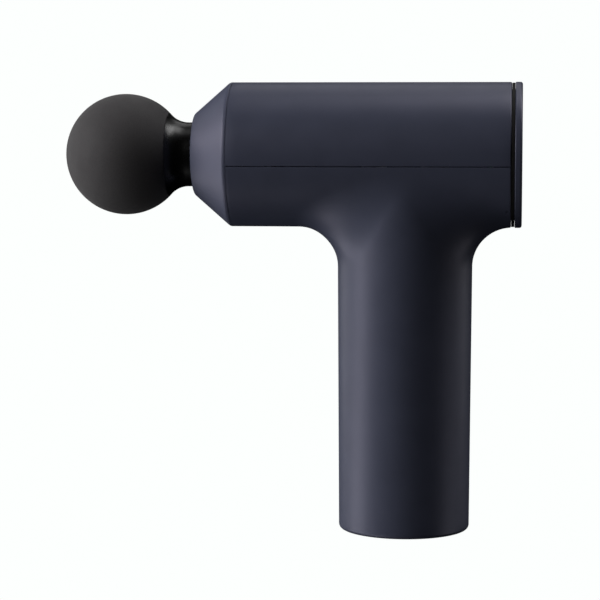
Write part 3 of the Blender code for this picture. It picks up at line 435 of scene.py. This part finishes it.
def wound_wire(name, colour, pitch=0.45 * MM):
    """Enamelled wire wound in layers, with the grooves between turns painted dark (painted shade)."""
    look = Look(name)
    look.set(Metallic=0.85, Coat_Weight=0.4, Coat_Roughness=0.15)
    turns = look.bands(pitch)
    # painted shade: the colour darkens in the grooves between turns, on the bands that also sink them
    look.tint(turns, shade(colour, 0.35), shade(colour, 1.1), 0.05, 0.6)
    look.rough(look.noise(0.8 * MM), 0.28, 0.42)
    look.relief(turns, 0.12 * MM)
    return look.material


def solder_mask(name, colour):
    """Circuit board: solder mask over faint copper tracks."""
    look = Look(name)
    look.set(IOR=1.5, Coat_Weight=0.3, Coat_Roughness=0.2)
    tracks = look.noise(1.6 * MM, 0.0)
    look.tint(tracks, shade(colour, 0.75), shade(colour, 1.6), 0.49, 0.51)
    look.rough(look.noise(2 * MM), 0.30, 0.42)
    look.relief(look.between(tracks, 0.0, 1.0, 0.49, 0.51), 0.03 * MM)
    return look.material


def milky_pipe(name, colour):
    """Milky light pipe: cloudy, glossy and a little translucent."""
    look = Look(name)
    look.set(IOR=1.49, Subsurface_Weight=0.4, Subsurface_Scale=0.5 * MM)
    look.tint(look.noise(0.6 * MM), shade(colour, 0.9), shade(colour, 1.05))
    look.rough(look.noise(0.5 * MM), 0.20, 0.30)
    look.relief(look.noise(0.3 * MM), 0.002 * MM)
    return look.material


SLATE = (0.054, 0.060, 0.092)
SLATE_GLOSS = (0.84, 0.80, 1.0)
COLLAR_GLOSS = (0.90, 0.81, 0.98)

slate = moulded_plastic("slate_plastic", SLATE, 0.42, gloss_tint=SLATE_GLOSS)
# painted light: the collar plastic is the slate plastic made a quarter lighter, so the nose cone looks
# evenly lit where the ball shades it from the soft boxes
collar = moulded_plastic("collar_plastic", shade(SLATE, 1.25), 0.46, gloss_tint=COLLAR_GLOSS)
foam = dense_foam("black_foam", (0.042, 0.039, 0.041))
gloss_black = moulded_plastic("gloss_black", (0.003, 0.003, 0.003), 0.28, 0.6 * MM, 0.0008 * MM, 0.2)
seal = soft_rubber("seal_rubber", (0.006, 0.006, 0.006), 0.7)

# every material, by the CAD's name for its slot
LOOKS = {
    "nylon": moulded_plastic("nylon", (0.035, 0.035, 0.037), 0.55, 0.3 * MM, 0.008 * MM, 0.12),
    "acetal": moulded_plastic("acetal", (0.62, 0.61, 0.56), 0.42, 0.3 * MM, 0.004 * MM, 0.04),
    "cast_aluminium": worked_metal("cast_aluminium", (0.60, 0.61, 0.63), 0.38, 0.5 * MM, depth=0.012 * MM),
    "steel": worked_metal("steel", (0.50, 0.50, 0.51), 0.28, 0.2 * MM, (0.15, 0.15, 2.0)),
    "lamination": stacked_sheets("lamination", (0.22, 0.22, 0.24)),
    "copper": wound_wire("copper", (0.72, 0.30, 0.12)),
    "nickel": worked_metal("nickel", (0.62, 0.60, 0.56), 0.26, 0.3 * MM, (0.1, 1.0, 1.0)),
    "cell_sleeve": moulded_plastic("cell_sleeve", (0.05, 0.20, 0.42), 0.32, 1.5 * MM, 0.010 * MM, 0.08),
    "circuit_board": solder_mask("circuit_board", (0.02, 0.14, 0.06)),
    "light_pipe": milky_pipe("light_pipe", (0.75, 0.78, 0.80)),
    "red_lead": soft_rubber("red_lead", (0.45, 0.02, 0.02), 0.45),
    "black_lead": soft_rubber("black_lead", (0.015, 0.015, 0.015), 0.45),
    "yellow_lead": soft_rubber("yellow_lead", (0.60, 0.45, 0.04), 0.45),
    "slate_plastic": slate,
    "collar_plastic": collar,
    "black_foam": foam,
    "gloss_black": gloss_black,
    "seal_rubber": seal,
}


def dress_cad_nodes():
    """Give every CAD node the procedural material of its slot."""
    slots = {row["node"]: row["material_slot"] for row in frame["record"]["subparts"]}
    for name, piece in frame["nodes"].items():
        for spot in piece.material_slots:
            spot.material = LOOKS[slots[name]]


# ---------------------------------------------------------------- casing
SEAM_HOUSING = SEAM_DROP + SEAM_GAP / 2
SEAM_COVER = SEAM_DROP - SEAM_GAP / 2
SEAM_TURN = math.acos(SEAM_HOUSING / BARREL_R)   # from straight down to the parting line
SEAM_ARC = BARREL_R * SEAM_TURN


def blend_radius(angle):
    """Fillet radius on a spoke round the handle; it grows toward the sides of the barrel."""
    return BLEND_R * (1 + BLEND_SWELL * math.sin(angle) ** 2)


class Skin:
    """One face of the housing wall: the handle, its fillet and the lower barrel, inset from outside."""

    def __init__(self, inset, base_inset):
        self.inset = inset
        self.base_r = HANDLE_BASE_R - base_inset
        self.shaft_r = HANDLE_TOP_R - inset
        self.barrel_r = BARREL_R - inset

    def edge(self, spoke_end, lift, seam_lift):
        """Point at the barrel's opening on a spoke, set back along the skin from its end or parting line."""
        end, side, x, turn = spoke_end
        x -= end * lift
        if side:
            z = -(SEAM_HOUSING + seam_lift)
            return Vector((x, side * math.sqrt(self.barrel_r ** 2 - z ** 2), z))
        return Vector((x, self.barrel_r * math.sin(turn), -self.barrel_r * math.cos(turn)))

    def fillet(self, angle):
        """Radius, centre, start and end directions of the rolling-ball arc on a spoke."""
        blend_r = blend_radius(angle) + self.inset
        reach = self.shaft_r + blend_r
        side = reach * math.sin(angle)
        drop = math.sqrt((self.barrel_r + blend_r) ** 2 - side ** 2)
        centre = Vector((reach * math.cos(angle), side, -drop))
        to_shaft = Vector((-math.cos(angle), -math.sin(angle), 0.0))
        to_barrel = Vector((0.0, -centre.y, -centre.z)).normalized()
        return blend_r, centre, to_shaft, to_barrel

    def share(self, angle, last_x):
        """Share of a spoke's fillet that lies in front of last_x."""
        blend_r, centre, to_shaft, to_barrel = self.fillet(angle)
        share = 1.0
        while (centre + blend_r * to_shaft.slerp(to_barrel, share)).x > last_x and share > LEAST_SHARE:
            share -= SHARE_STEP
        return share

    def shaft(self, angle, top, steps):
        """Points up the handle from its rounded foot to just below top."""
        points = []
        for k in range(steps):
            part = k / steps
            radius = self.base_r + (self.shaft_r - self.base_r) * part
            z = BASE_EDGE_R + (top - BASE_EDGE_R) * part
            points.append(Vector((radius * math.cos(angle), radius * math.sin(angle), z)))
        return points

    def line(self, angle, spoke_end, lift, seam_lift, shaft_steps, flow_steps):
        """Points from the foot of the handle to the barrel's opening, evenly spaced on the blend."""
        blend_r, centre, to_shaft, to_barrel = self.fillet(angle)
        last_x = BARREL_REAR - lift
        share = self.share(angle, last_x)
        arc_length = blend_r * to_shaft.angle(to_barrel) * share
        contact = centre + blend_r * to_shaft.slerp(to_barrel, share)
        goal = self.edge(spoke_end, lift, seam_lift)
        if share < 1.0:
            goal = contact.copy()
            goal.x = last_x
        start_turn, goal_turn = math.atan2(contact.y, -contact.z), math.atan2(goal.y, -goal.z)
        line_length = math.hypot(goal.x - contact.x, self.barrel_r * (goal_turn - start_turn))
        points = self.shaft(angle, centre.z + AXIS_Z, shaft_steps)
        for k in range(flow_steps + 1):
            way = (arc_length + line_length) * k / flow_steps
            if way <= arc_length or line_length == 0.0:
                spot = centre + blend_r * to_shaft.slerp(to_barrel, share * min(way / arc_length, 1.0))
            else:
                part = (way - arc_length) / line_length
                turn = start_turn + (goal_turn - start_turn) * part
                radius = math.hypot(contact.y, contact.z) * (1 - part) + math.hypot(goal.y, goal.z) * part
                x = contact.x + (goal.x - contact.x) * part
                spot = Vector((x, radius * math.sin(turn), -radius * math.cos(turn)))
            points.append(spot + Vector((0.0, 0.0, AXIS_Z)))
        return points


def contact_turn(angle):
    """How far round the barrel, from straight down, the fillet on a spoke meets it."""
    blend_r = blend_radius(angle)
    return math.asin((HANDLE_TOP_R + blend_r) / (BARREL_R + blend_r) * math.sin(angle))


def corner_angles():
    """Angles of the spokes at a rear corner and a front corner, and where the fillet ends at the rear."""
    rear, front = math.atan2(SEAM_ARC, BARREL_REAR), math.atan2(SEAM_ARC, BARREL_FRONT)
    free = rear
    while (HANDLE_TOP_R + blend_radius(free)) * math.cos(free) < BARREL_REAR:
        free -= FREE_STEP
    return rear, front, free


def ending(zone, angle, first, rear, free):
    """Where a spoke meets the barrel's opening, as (end, side, x, turn).

    end is 1 at the barrel's rear edge and -1 at the front, side is the sign of Y on the parting line, and
    turn is the angle round the barrel from straight down. The first spoke of a zone runs through a corner,
    except where a zone starts at the free spoke.
    """
    side = int(math.copysign(1, math.sin(angle)))
    if zone == "cut":
        return 1, 0, BARREL_REAR, contact_turn(angle)
    if zone == "fan":
        contact = abs(contact_turn(angle))
        free_contact, corner_contact = contact_turn(free), contact_turn(rear)
        spread = ((contact - free_contact) / (corner_contact - free_contact)) ** 2
        turn = side * (contact + (SEAM_TURN - corner_contact) * spread)
        return 1, side if first and side < 0 else 0, BARREL_REAR, turn
    if zone == "front":
        turn = -math.tan(angle) * abs(BARREL_FRONT) / BARREL_R
        return -1, side if first else 0, BARREL_FRONT, turn
    # on the parting line, the +Y zone starts at the rear corner and the -Y zone at the front one
    x = SEAM_ARC / abs(math.tan(angle)) * math.copysign(1, math.cos(angle))
    return side if first else 0, side, x, side * SEAM_TURN


def spoke_ends():
    """Spokes round the handle as (angle, where it ends), with one through each corner."""
    rear, front, free = corner_angles()
    round_trip = 2 * math.pi
    zones = [("fan", -rear, -free), ("cut", -free, free), ("fan", free, rear), ("seam", rear, front),
             ("front", front, round_trip - front), ("seam", round_trip - front, round_trip - rear)]
    spokes = []
    for zone, start, stop in zones:
        steps = FAN_STEPS if zone == "fan" else math.ceil((stop - start) / SPOKE_STEP)
        for i in range(steps):
            angle = start + (stop - start) * i / steps
            spokes.append((angle, ending(zone, angle, i == 0, rear, free)))
    return spokes


def rounded_rim(rim, spoke_end, edge_r):
    """Points round the edge of the barrel's opening, from the end of the outer skin to the edge's face."""
    inward = Vector((0.0, -rim.y, AXIS_Z - rim.z)).normalized()
    points = []
    for k in range(1, EDGE_STEPS + 1):
        bend = math.pi / 2 * k / EDGE_STEPS
        sink, reach = edge_r * (1 - math.cos(bend)), edge_r * math.sin(bend)
        if spoke_end[1]:
            spot = Skin(sink, 0.0).edge(spoke_end, edge_r - reach, SEAM_EDGE_R * (1 - math.sin(bend)))
            points.append(spot + Vector((0, 0, AXIS_Z)))
        else:
            points.append(rim + inward * sink + Vector((spoke_end[0] * reach, 0, 0)))
    return points


def wall_section(outer, inner, angle, spoke_end):
    """Closed outline of the wall on a spoke: foot, outside, rounded rim, and back down inside."""
    edge_r = END_EDGE_R if spoke_end[0] > 0 else SEAM_EDGE_R
    away = Vector((math.cos(angle), math.sin(angle), 0.0))
    section = []
    for k in range(FOOT_STEPS):
        bend = math.radians(-90 + 90 * k / FOOT_STEPS)
        out, up = BASE_EDGE_R * math.cos(bend), BASE_EDGE_R * math.sin(bend)
        section.append(away * (HANDLE_BASE_R - BASE_EDGE_R + out) + Vector((0, 0, BASE_EDGE_R + up)))
    section += outer.line(angle, spoke_end, edge_r, SEAM_EDGE_R, *OUTER_STEPS)
    section += rounded_rim(section[-1], spoke_end, edge_r)
    section += reversed(inner.line(angle, spoke_end, 0.0, 0.0, *INNER_STEPS))
    section.append(away * (HANDLE_BASE_R - HANDLE_WALL))
    return section


def make_housing():
    """Handle and lower barrel as one closed wall with rounded edges."""
    outer, inner = Skin(0.0, 0.0), Skin(BARREL_WALL, HANDLE_WALL)
    bm = bmesh.new()
    loops = []
    for angle, spoke_end in spoke_ends():
        loops.append([bm.verts.new(spot) for spot in wall_section(outer, inner, angle, spoke_end)])
    bridge(bm, loops + loops[:1])
    install(new_piece("housing_shell", bm), "housing", slate, "slate_plastic", "main_housing")


def rounded_steps(edge_r):
    """(distance from the edge, depth below the skin) from the edge's face up to the skin."""
    bends = [math.pi / 2 * k / EDGE_STEPS for k in range(EDGE_STEPS + 1)]
    return [(edge_r * (1 - math.sin(bend)), edge_r * (1 - math.cos(bend))) for bend in reversed(bends)]


def cover_grid():
    """(x, depth) rows along the cover and (turn, depth) spots across it, finer at its rounded edges."""
    seam_turn = math.pi / 2 + math.asin(SEAM_COVER / BARREL_R)
    seam_edge, rear_edge = rounded_steps(SEAM_EDGE_R), rounded_steps(END_EDGE_R)
    length = BARREL_REAR - BARREL_FRONT
    along_steps, across_steps = COVER_STEPS
    along = [(BARREL_FRONT + lift, depth) for lift, depth in seam_edge]
    along += [(BARREL_FRONT + length * k / along_steps, 0.0) for k in range(1, along_steps)]
    along += [(BARREL_REAR - lift, depth) for lift, depth in reversed(rear_edge)]
    edge_turns = [(lift / BARREL_R, depth) for lift, depth in seam_edge]
    across = [(-seam_turn + lift, depth) for lift, depth in edge_turns]
    across += [(-seam_turn + 2 * seam_turn * k / across_steps, 0.0) for k in range(1, across_steps)]
    across += [(seam_turn - lift, depth) for lift, depth in reversed(edge_turns)]
    return along, across


def make_cover():
    """Upper shell of the barrel, a curved sheet with rounded edges."""
    along, across = cover_grid()
    inner_r = BARREL_R - BARREL_WALL
    bm = bmesh.new()
    loops = []
    for x, end_depth in along:
        ring = []
        for turn, side_depth in across:
            radius = BARREL_R - max(end_depth, side_depth)
            ring.append(Vector((x, radius * math.sin(turn), AXIS_Z + radius * math.cos(turn))))
        for turn, _ in reversed(across):
            ring.append(Vector((x, inner_r * math.sin(turn), AXIS_Z + inner_r * math.cos(turn))))
        loops.append([bm.verts.new(spot) for spot in ring])
    bridge(bm, loops)
    for loop in (loops[0], loops[-1]):
        count = len(loop)
        for i in range(count // 2 - 1):
            bm.faces.new((loop[i], loop[i + 1], loop[count - 2 - i], loop[count - 1 - i]))
    install(new_piece("cover_shell", bm), "housing", slate, "slate_plastic", "top_cover")


def make_collar():
    """Nose cone with its rounded rim and shoulder, and its spigot inside the barrel."""
    front, rear = collar_low.x, BARREL_FRONT - 0.5 * GAP
    outline = softened([
        (front, COLLAR_MOUTH_R, 0.25 * MM),
        (front, COLLAR_FRONT_R, 1.1 * MM),
        (COLLAR_CORNER, BARREL_R, 1.4 * MM),
        (rear, BARREL_R, 0.08 * MM),
        (rear, SPIGOT_R, 0.0),
        (COLLAR_SPIGOT_END, SPIGOT_R, 0.3 * MM),
        (COLLAR_SPIGOT_END, SPIGOT_R - COLLAR_SPIGOT_WALL, 0.3 * MM),
        (front + COLLAR_CONE, SPIGOT_R - COLLAR_SPIGOT_WALL, 0.5 * MM),
        (front + COLLAR_LIP, COLLAR_BORE_R, 0.2 * MM),
        (front + COLLAR_LIP, COLLAR_MOUTH_R, 0.2 * MM),
    ])
    # the nose cone wears the lighter collar plastic: painted light
    install(turned("collar_cone", outline), "housing", collar, "collar_plastic", "nose_collar")


def make_seals():
    """Lip seal round the neck and the gasket in the rear groove."""
    lip = softened([
        (seal_low.x, SEAL_BORE_R, 0.2 * MM),
        (seal_low.x, SEAL_R, 0.2 * MM),
        (seal_high.x, SEAL_R, 0.2 * MM),
        (seal_high.x, SEAL_BORE_R, 0.2 * MM),
    ])
    install(turned("neck_seal", lip), "housing", seal, "seal_rubber", "dust_seal")
    gasket_r = (gasket_high.z - gasket_low.z) / 2
    front, rear = BARREL_REAR + GASKET_GAP, CAP_FRONT - GASKET_GAP
    groove = softened([
        (front, SPIGOT_R + GAP, 0.1 * MM),
        (front, gasket_r, 0.15 * MM),
        (rear, gasket_r, 0.15 * MM),
        (rear, SPIGOT_R + GAP, 0.1 * MM),
    ])
    install(turned("groove_gasket", groove), "housing", seal, "seal_rubber", "rear_gasket")


def make_speed_light(number):
    """A domed light pipe in the rear cap; returns the cutter for its hole."""
    node = f"speed_light_{number}"
    low, high = span(node)
    shift = Matrix.Translation((0.0, (low.y + high.y) / 2, (low.z + high.z) / 2 - AXIS_Z))
    dome = softened([
        (low.x, 0.0, 0.0),
        (low.x, LIGHT_R, 0.0),
        (high.x, LIGHT_R, 0.3 * MM),
        (high.x, 0.0, 0.0),
    ], closed=False)
    pipe = turned(f"light_pipe_{number}", dome, steps=HOLE_STEPS)
    pipe.data.transform(shift)
    install(pipe, "housing", LOOKS["light_pipe"], "light_pipe", node)
    hole_r, front, rear = LIGHT_R + LIGHT_GAP, CAP_FRONT - MM, CAP_REAR + MM
    hole = [(front, 0.0), (front, hole_r), (rear, hole_r), (rear, 0.0)]
    cutter = turned(f"light_drill_{number}", hole, steps=HOLE_STEPS)
    cutter.data.transform(shift)
    return cutter


def make_rear_cap():
    """Rear cap with its edge, its button well and the three speed lights."""
    outline = softened([
        (CAP_FRONT - CAP_SPIGOT, SPIGOT_R - CAP_SPIGOT_WALL, 0.3 * MM),
        (CAP_FRONT - CAP_SPIGOT, SPIGOT_R, 0.3 * MM),
        (CAP_FRONT, SPIGOT_R, 0.0),
        (CAP_FRONT, CAP_R, 0.25 * MM),
        (CAP_REAR, CAP_R, 0.7 * MM),
        (CAP_REAR, BUTTON_R + GAP, 0.2 * MM),
        (CAP_FRONT, BUTTON_R + GAP, 0.1 * MM),
        (CAP_FRONT, SPIGOT_R - CAP_SPIGOT_WALL, 0.3 * MM),
    ])
    cap = turned("cap_disc", outline)
    cutters = [make_speed_light(number) for number in (1, 2, 3)]
    install(carve(cap, *cutters), "housing", slate, "slate_plastic", "rear_cap")


def make_button():
    """Power button with its flange, its stud and a shallow hollow for the fingertip."""
    face, front = button_high.x, button_low.x
    hollow_r = BUTTON_R - BUTTON_RIM
    outline = softened([
        (front, 0.0, 0.0),
        (front, BUTTON_STUD_R, 0.2 * MM),
        (front + BUTTON_STUD, BUTTON_STUD_R, 0.2 * MM),
        (front + BUTTON_STUD, BUTTON_FLANGE_R, 0.2 * MM),
        (CAP_FRONT - GAP, BUTTON_FLANGE_R, 0.2 * MM),
        (CAP_FRONT - GAP, BUTTON_R, 0.1 * MM),
        (face, BUTTON_R, 0.45 * MM),
        (face, hollow_r, 0.6 * MM),
    ], closed=False)[:-1]
    for k in range(DISH_STEPS):
        part = k / DISH_STEPS
        outline.append((face - BUTTON_DISH * math.sin(math.pi / 2 * part) ** 2, hollow_r * (1 - part)))
    outline.append((face - BUTTON_DISH, 0.0))
    install(turned("button_cap", outline), "button", slate, "slate_plastic", "power_button")


def make_base_screw(side, y, top):
    """A cross-recess screw, head down in the base cap."""
    face, underside = SCREW_HEAD
    outline = softened([
        (face, 0.0, 0.0),
        (face, SCREW_HEAD_R, 0.35 * MM),
        (underside, SCREW_HEAD_R, 0.1 * MM),
        (underside, SCREW_R, 0.1 * MM),
        (top, SCREW_R, 0.3 * MM),
        (top, 0.0, 0.0),
    ], closed=False)
    screw = turned(f"base_bolt_{side}", outline, True, (0.0, y), SCREW_STEPS)
    slots = []
    for axis, half_x, half_y in (("x", CROSS_ARM, CROSS_HALF), ("y", CROSS_HALF, CROSS_ARM)):
        low, high = (-half_x, y - half_y, -MM), (half_x, y + half_y, CROSS_DEPTH)
        slots.append(rounded_box(f"cross_{axis}", low, high, 0.1 * MM, 1))
    carve(screw, *slots)
    install(screw, "housing", LOOKS["steel"], "steel", f"base_screw_{side}")


def make_base():
    """Base cap with its screws, charge light and charging inlet."""
    cap_r = HANDLE_BASE_R - HANDLE_WALL - GAP
    rim = base_high.z
    outline = softened([
        (BASE_PLATE, 0.0, 0.0),
        (BASE_PLATE, cap_r - BASE_RIM_WALL, 0.2 * MM),
        (rim, cap_r - BASE_RIM_WALL, 0.2 * MM),
        (rim, cap_r, 0.2 * MM),
        (0.0, cap_r, 0.15 * MM),
        (0.0, 0.0, 0.0),
    ], closed=False)
    cap = turned("base_plate", outline, upright=True)
    below, above = -MM, 4 * MM
    usb_x = (usb_low.x + usb_high.x) / 2
    tools = [rounded_box("inlet_cutter", (usb_x - INLET_HALF.x, -INLET_HALF.y, 2 * below),
                         (usb_x + INLET_HALF.x, INLET_HALF.y, above + MM), INLET_CORNER_R, 5)]
    lamp_x = (lamp_low.x + lamp_high.x) / 2
    lamp_hole = [(below, 0.0), (below, LAMP_HOLE_R), (above, LAMP_HOLE_R), (above, 0.0)]
    tools.append(turned("lamp_cutter", lamp_hole, True, (lamp_x, 0.0), HOLE_STEPS))
    for side in ("left", "right"):
        low, high = span(f"base_screw_{side}")
        y = (low.y + high.y) / 2
        seat = [(below, 0.0), (below, SCREW_SEAT_R), (SCREW_SEAT, SCREW_SEAT_R), (SCREW_SEAT, SCREW_HOLE_R),
                (above, SCREW_HOLE_R), (above, 0.0)]
        tools.append(turned(f"seat_cutter_{side}", seat, True, (0.0, y), HOLE_STEPS))
        make_base_screw(side, y, high.z)
    install(carve(cap, *tools), "housing", slate, "slate_plastic", "base_cap")


# ---------------------------------------------------------------- massage head
def make_ball():
    """Foam ball with the bore that takes the stem's core."""
    bore = STEM_CORE_R + GAP
    inside_x = stem_low.x - GAP
    seam_angle = math.pi - math.asin(STEM_SEAM_R / BALL_R)
    skin = [(ball_low.x, 0.0)]
    for k in range(1, BALL_STEPS + 1):
        angle = seam_angle * k / BALL_STEPS
        skin.append((BALL_X - BALL_R * math.cos(angle), BALL_R * math.sin(angle)))
    skin += [(STEM_SEAM_X, STEM_SEAM_R - 0.3 * MM), (STEM_SEAM_X, bore + 0.3 * MM), (STEM_SEAM_X, bore),
             (inside_x, bore), (inside_x, 0.0)]
    ball = install(turned("foam_ball", skin), "head", foam, "black_foam", "ball_head")


def stem_flare(front):
    """Outline of the flare, an arc that leaves the neck evenly and widens to meet the ball."""
    length = NECK_START - BALL_X
    flare_r = (length ** 2 + NECK_R ** 2 - BALL_R ** 2) / (2 * (BALL_R - NECK_R))
    lean = math.asin((NECK_START - front) / flare_r)
    flare = []
    for k in range(FLARE_STEPS + 1):
        angle = lean * (1 - k / FLARE_STEPS)
        flare.append((NECK_START - flare_r * math.sin(angle), NECK_R + flare_r * (1 - math.cos(angle))))
    return flare


def make_stem():
    """Glossy stem: a core inside the ball, the flare, the neck and the grooved plug."""
    front = STEM_SEAM_X + STEM_GAP
    core = softened([
        (stem_low.x, 0.0, 0.0),
        (stem_low.x, STEM_CORE_R, 1.0 * MM),
        (front, STEM_CORE_R, 0.0),
    ], closed=False)
    neck = [(NECK_START, NECK_R, 0.0), (PLUG_FRONT, NECK_R, 0.2 * MM), (PLUG_FRONT, PLUG_R, 0.0)]
    for k in range(2):
        middle = PLUG_FRONT + RING_START + k * RING_PITCH
        front_side, rear_side = middle - RING_GROOVE, middle + RING_GROOVE
        floor_r = PLUG_R - RING_GROOVE_DEPTH
        neck += [(front_side, PLUG_R, 0.1 * MM), (front_side, floor_r, 0.1 * MM),
                 (rear_side, floor_r, 0.1 * MM), (rear_side, PLUG_R, 0.1 * MM)]
    neck += [(stem_high.x, PLUG_R, 1.0 * MM), (stem_high.x, 0.0, 0.0)]
    outline = core + stem_flare(front) + softened(neck, closed=False)[1:]
    install(turned("glossy_stem", outline), "head", gloss_black, "gloss_black", "head_stem")


def make_head_rings():
    """The two rubber rings in the plug's grooves."""
    for k, name in enumerate(("head_ring_front", "head_ring_rear")):
        middle = PLUG_FRONT + RING_START + k * RING_PITCH
        bead = []
        for i in range(BEAD_STEPS):
            angle = 2 * math.pi * i / BEAD_STEPS
            bead.append((middle + RING_R * math.cos(angle), PLUG_R - RING_R / 2 + RING_R * math.sin(angle)))
        install(turned(f"rubber_{name}", bead, steps=RING_STEPS), "head", seal, "seal_rubber", name)


# ---------------------------------------------------------------- studio
CAMERA_TARGET = Vector((-0.03225, 0.0, 0.07016))
CAMERA_AZIMUTH = math.radians(5.907)
CAMERA_ELEVATION = math.radians(4.966)
CAMERA_ROLL = math.radians(0.02)
CAMERA_DISTANCE = 0.64039
CAMERA_LENS = 124.892


def toward(azimuth, elevation):
    """Unit vector from the object to a place round it; azimuth 0 is on the -Y side, 90 on +X."""
    return Vector((math.sin(azimuth) * math.cos(elevation), -math.cos(azimuth) * math.cos(elevation),
                   math.sin(elevation)))


def make_camera():
    """Long lens at the left side of the barrel, a few degrees from behind and above."""
    data = bpy.data.cameras.new("camera")
    data.sensor_width = 36.0
    data.lens = CAMERA_LENS
    camera = bpy.data.objects.new("camera", data)
    back = toward(CAMERA_AZIMUTH, CAMERA_ELEVATION)
    camera.location = CAMERA_TARGET + back * CAMERA_DISTANCE
    camera.rotation_mode = "QUATERNION"
    aim = (-back).to_track_quat("-Z", "Y").to_matrix() @ Matrix.Rotation(CAMERA_ROLL, 3, "Z")
    camera.rotation_quaternion = aim.to_quaternion()
    bpy.context.scene.collection.objects.link(camera)
    bpy.context.scene.camera = camera


LIGHT_CENTRE = Vector((-0.02, 0.0, 0.08))
LIGHT_DISTANCE = 0.9
LIGHT_SIZE = 0.42

# square soft boxes, name: (azimuth and elevation in degrees, power in watts)
LIGHTS = {
    "key": (-75, 25, 3.9),
    "key_front": (-45, 25, 2.0),
    "nose_level": (-75, 0, 1.4),
    "nose_low": (-90, -25, 1.5),
    "under_left": (-60, -50, 1.1),
    "back_left": (-120, 0, 0.65),
    "back_left_high": (-120, 25, 0.3),
    "back_high": (180, 50, 0.4),
    "top": (0, 90, 0.4),
    "rear_top": (120, 72, 1.3),
    "rear_high": (105, 50, 2.1),
    "rear_rim": (105, 25, 1.0),
    "rear_level": (120, 0, 0.3),
    "rear_low": (90, -25, 0.4),
}


def make_lights():
    """Square soft boxes round the object; the low ones shine up through the floor."""
    for name, (azimuth, elevation, power) in LIGHTS.items():
        data = bpy.data.lights.new(name, "AREA")
        data.shape = "SQUARE"
        data.size = LIGHT_SIZE
        data.energy = power
        box = bpy.data.objects.new(name, data)
        back = toward(math.radians(azimuth), math.radians(elevation))
        box.location = LIGHT_CENTRE + back * LIGHT_DISTANCE
        box.rotation_mode = "QUATERNION"
        box.rotation_quaternion = (-back).to_track_quat("-Z", "Y")
        box.visible_camera = False
        bpy.context.scene.collection.objects.link(box)


FLOOR_SIZE = 12.0
STUDIO_WHITE = (0.98, 1.0, 0.99, 1.0)


def make_stage():
    """Floor and surround, both plain white to the camera; all light on the object is the soft boxes'."""
    scene = bpy.context.scene
    scene.view_settings.view_transform = "Standard"
    world = bpy.data.worlds.new("studio")
    world.use_nodes = True
    nodes, links = world.node_tree.nodes, world.node_tree.links
    path = nodes.new("ShaderNodeLightPath")
    links.new(path.outputs["Is Camera Ray"], nodes["Background"].inputs["Strength"])
    nodes["Background"].inputs["Color"].default_value = STUDIO_WHITE
    scene.world = world

    bm = bmesh.new()
    bmesh.ops.create_grid(bm, x_segments=1, y_segments=1, size=FLOOR_SIZE / 2)
    floor = new_piece("floor", bm)
    floor.location.z = -FLOOR_DROP
    paint = bpy.data.materials.new("light_table")
    paint.use_nodes = True
    nodes, links = paint.node_tree.nodes, paint.node_tree.links
    nodes.remove(nodes["Principled BSDF"])
    glow = nodes.new("ShaderNodeEmission")
    glow.inputs["Color"].default_value = STUDIO_WHITE
    links.new(glow.outputs["Emission"], nodes["Material Output"].inputs["Surface"])
    floor.data.materials.append(paint)
    floor.visible_diffuse = False
    floor.visible_glossy = False
    floor.visible_shadow = False


make_camera()
make_lights()
make_stage()
dress_cad_nodes()
make_housing()
make_cover()
make_collar()
make_seals()
make_rear_cap()
make_button()
make_base()
make_ball()
make_stem()
make_head_rings()
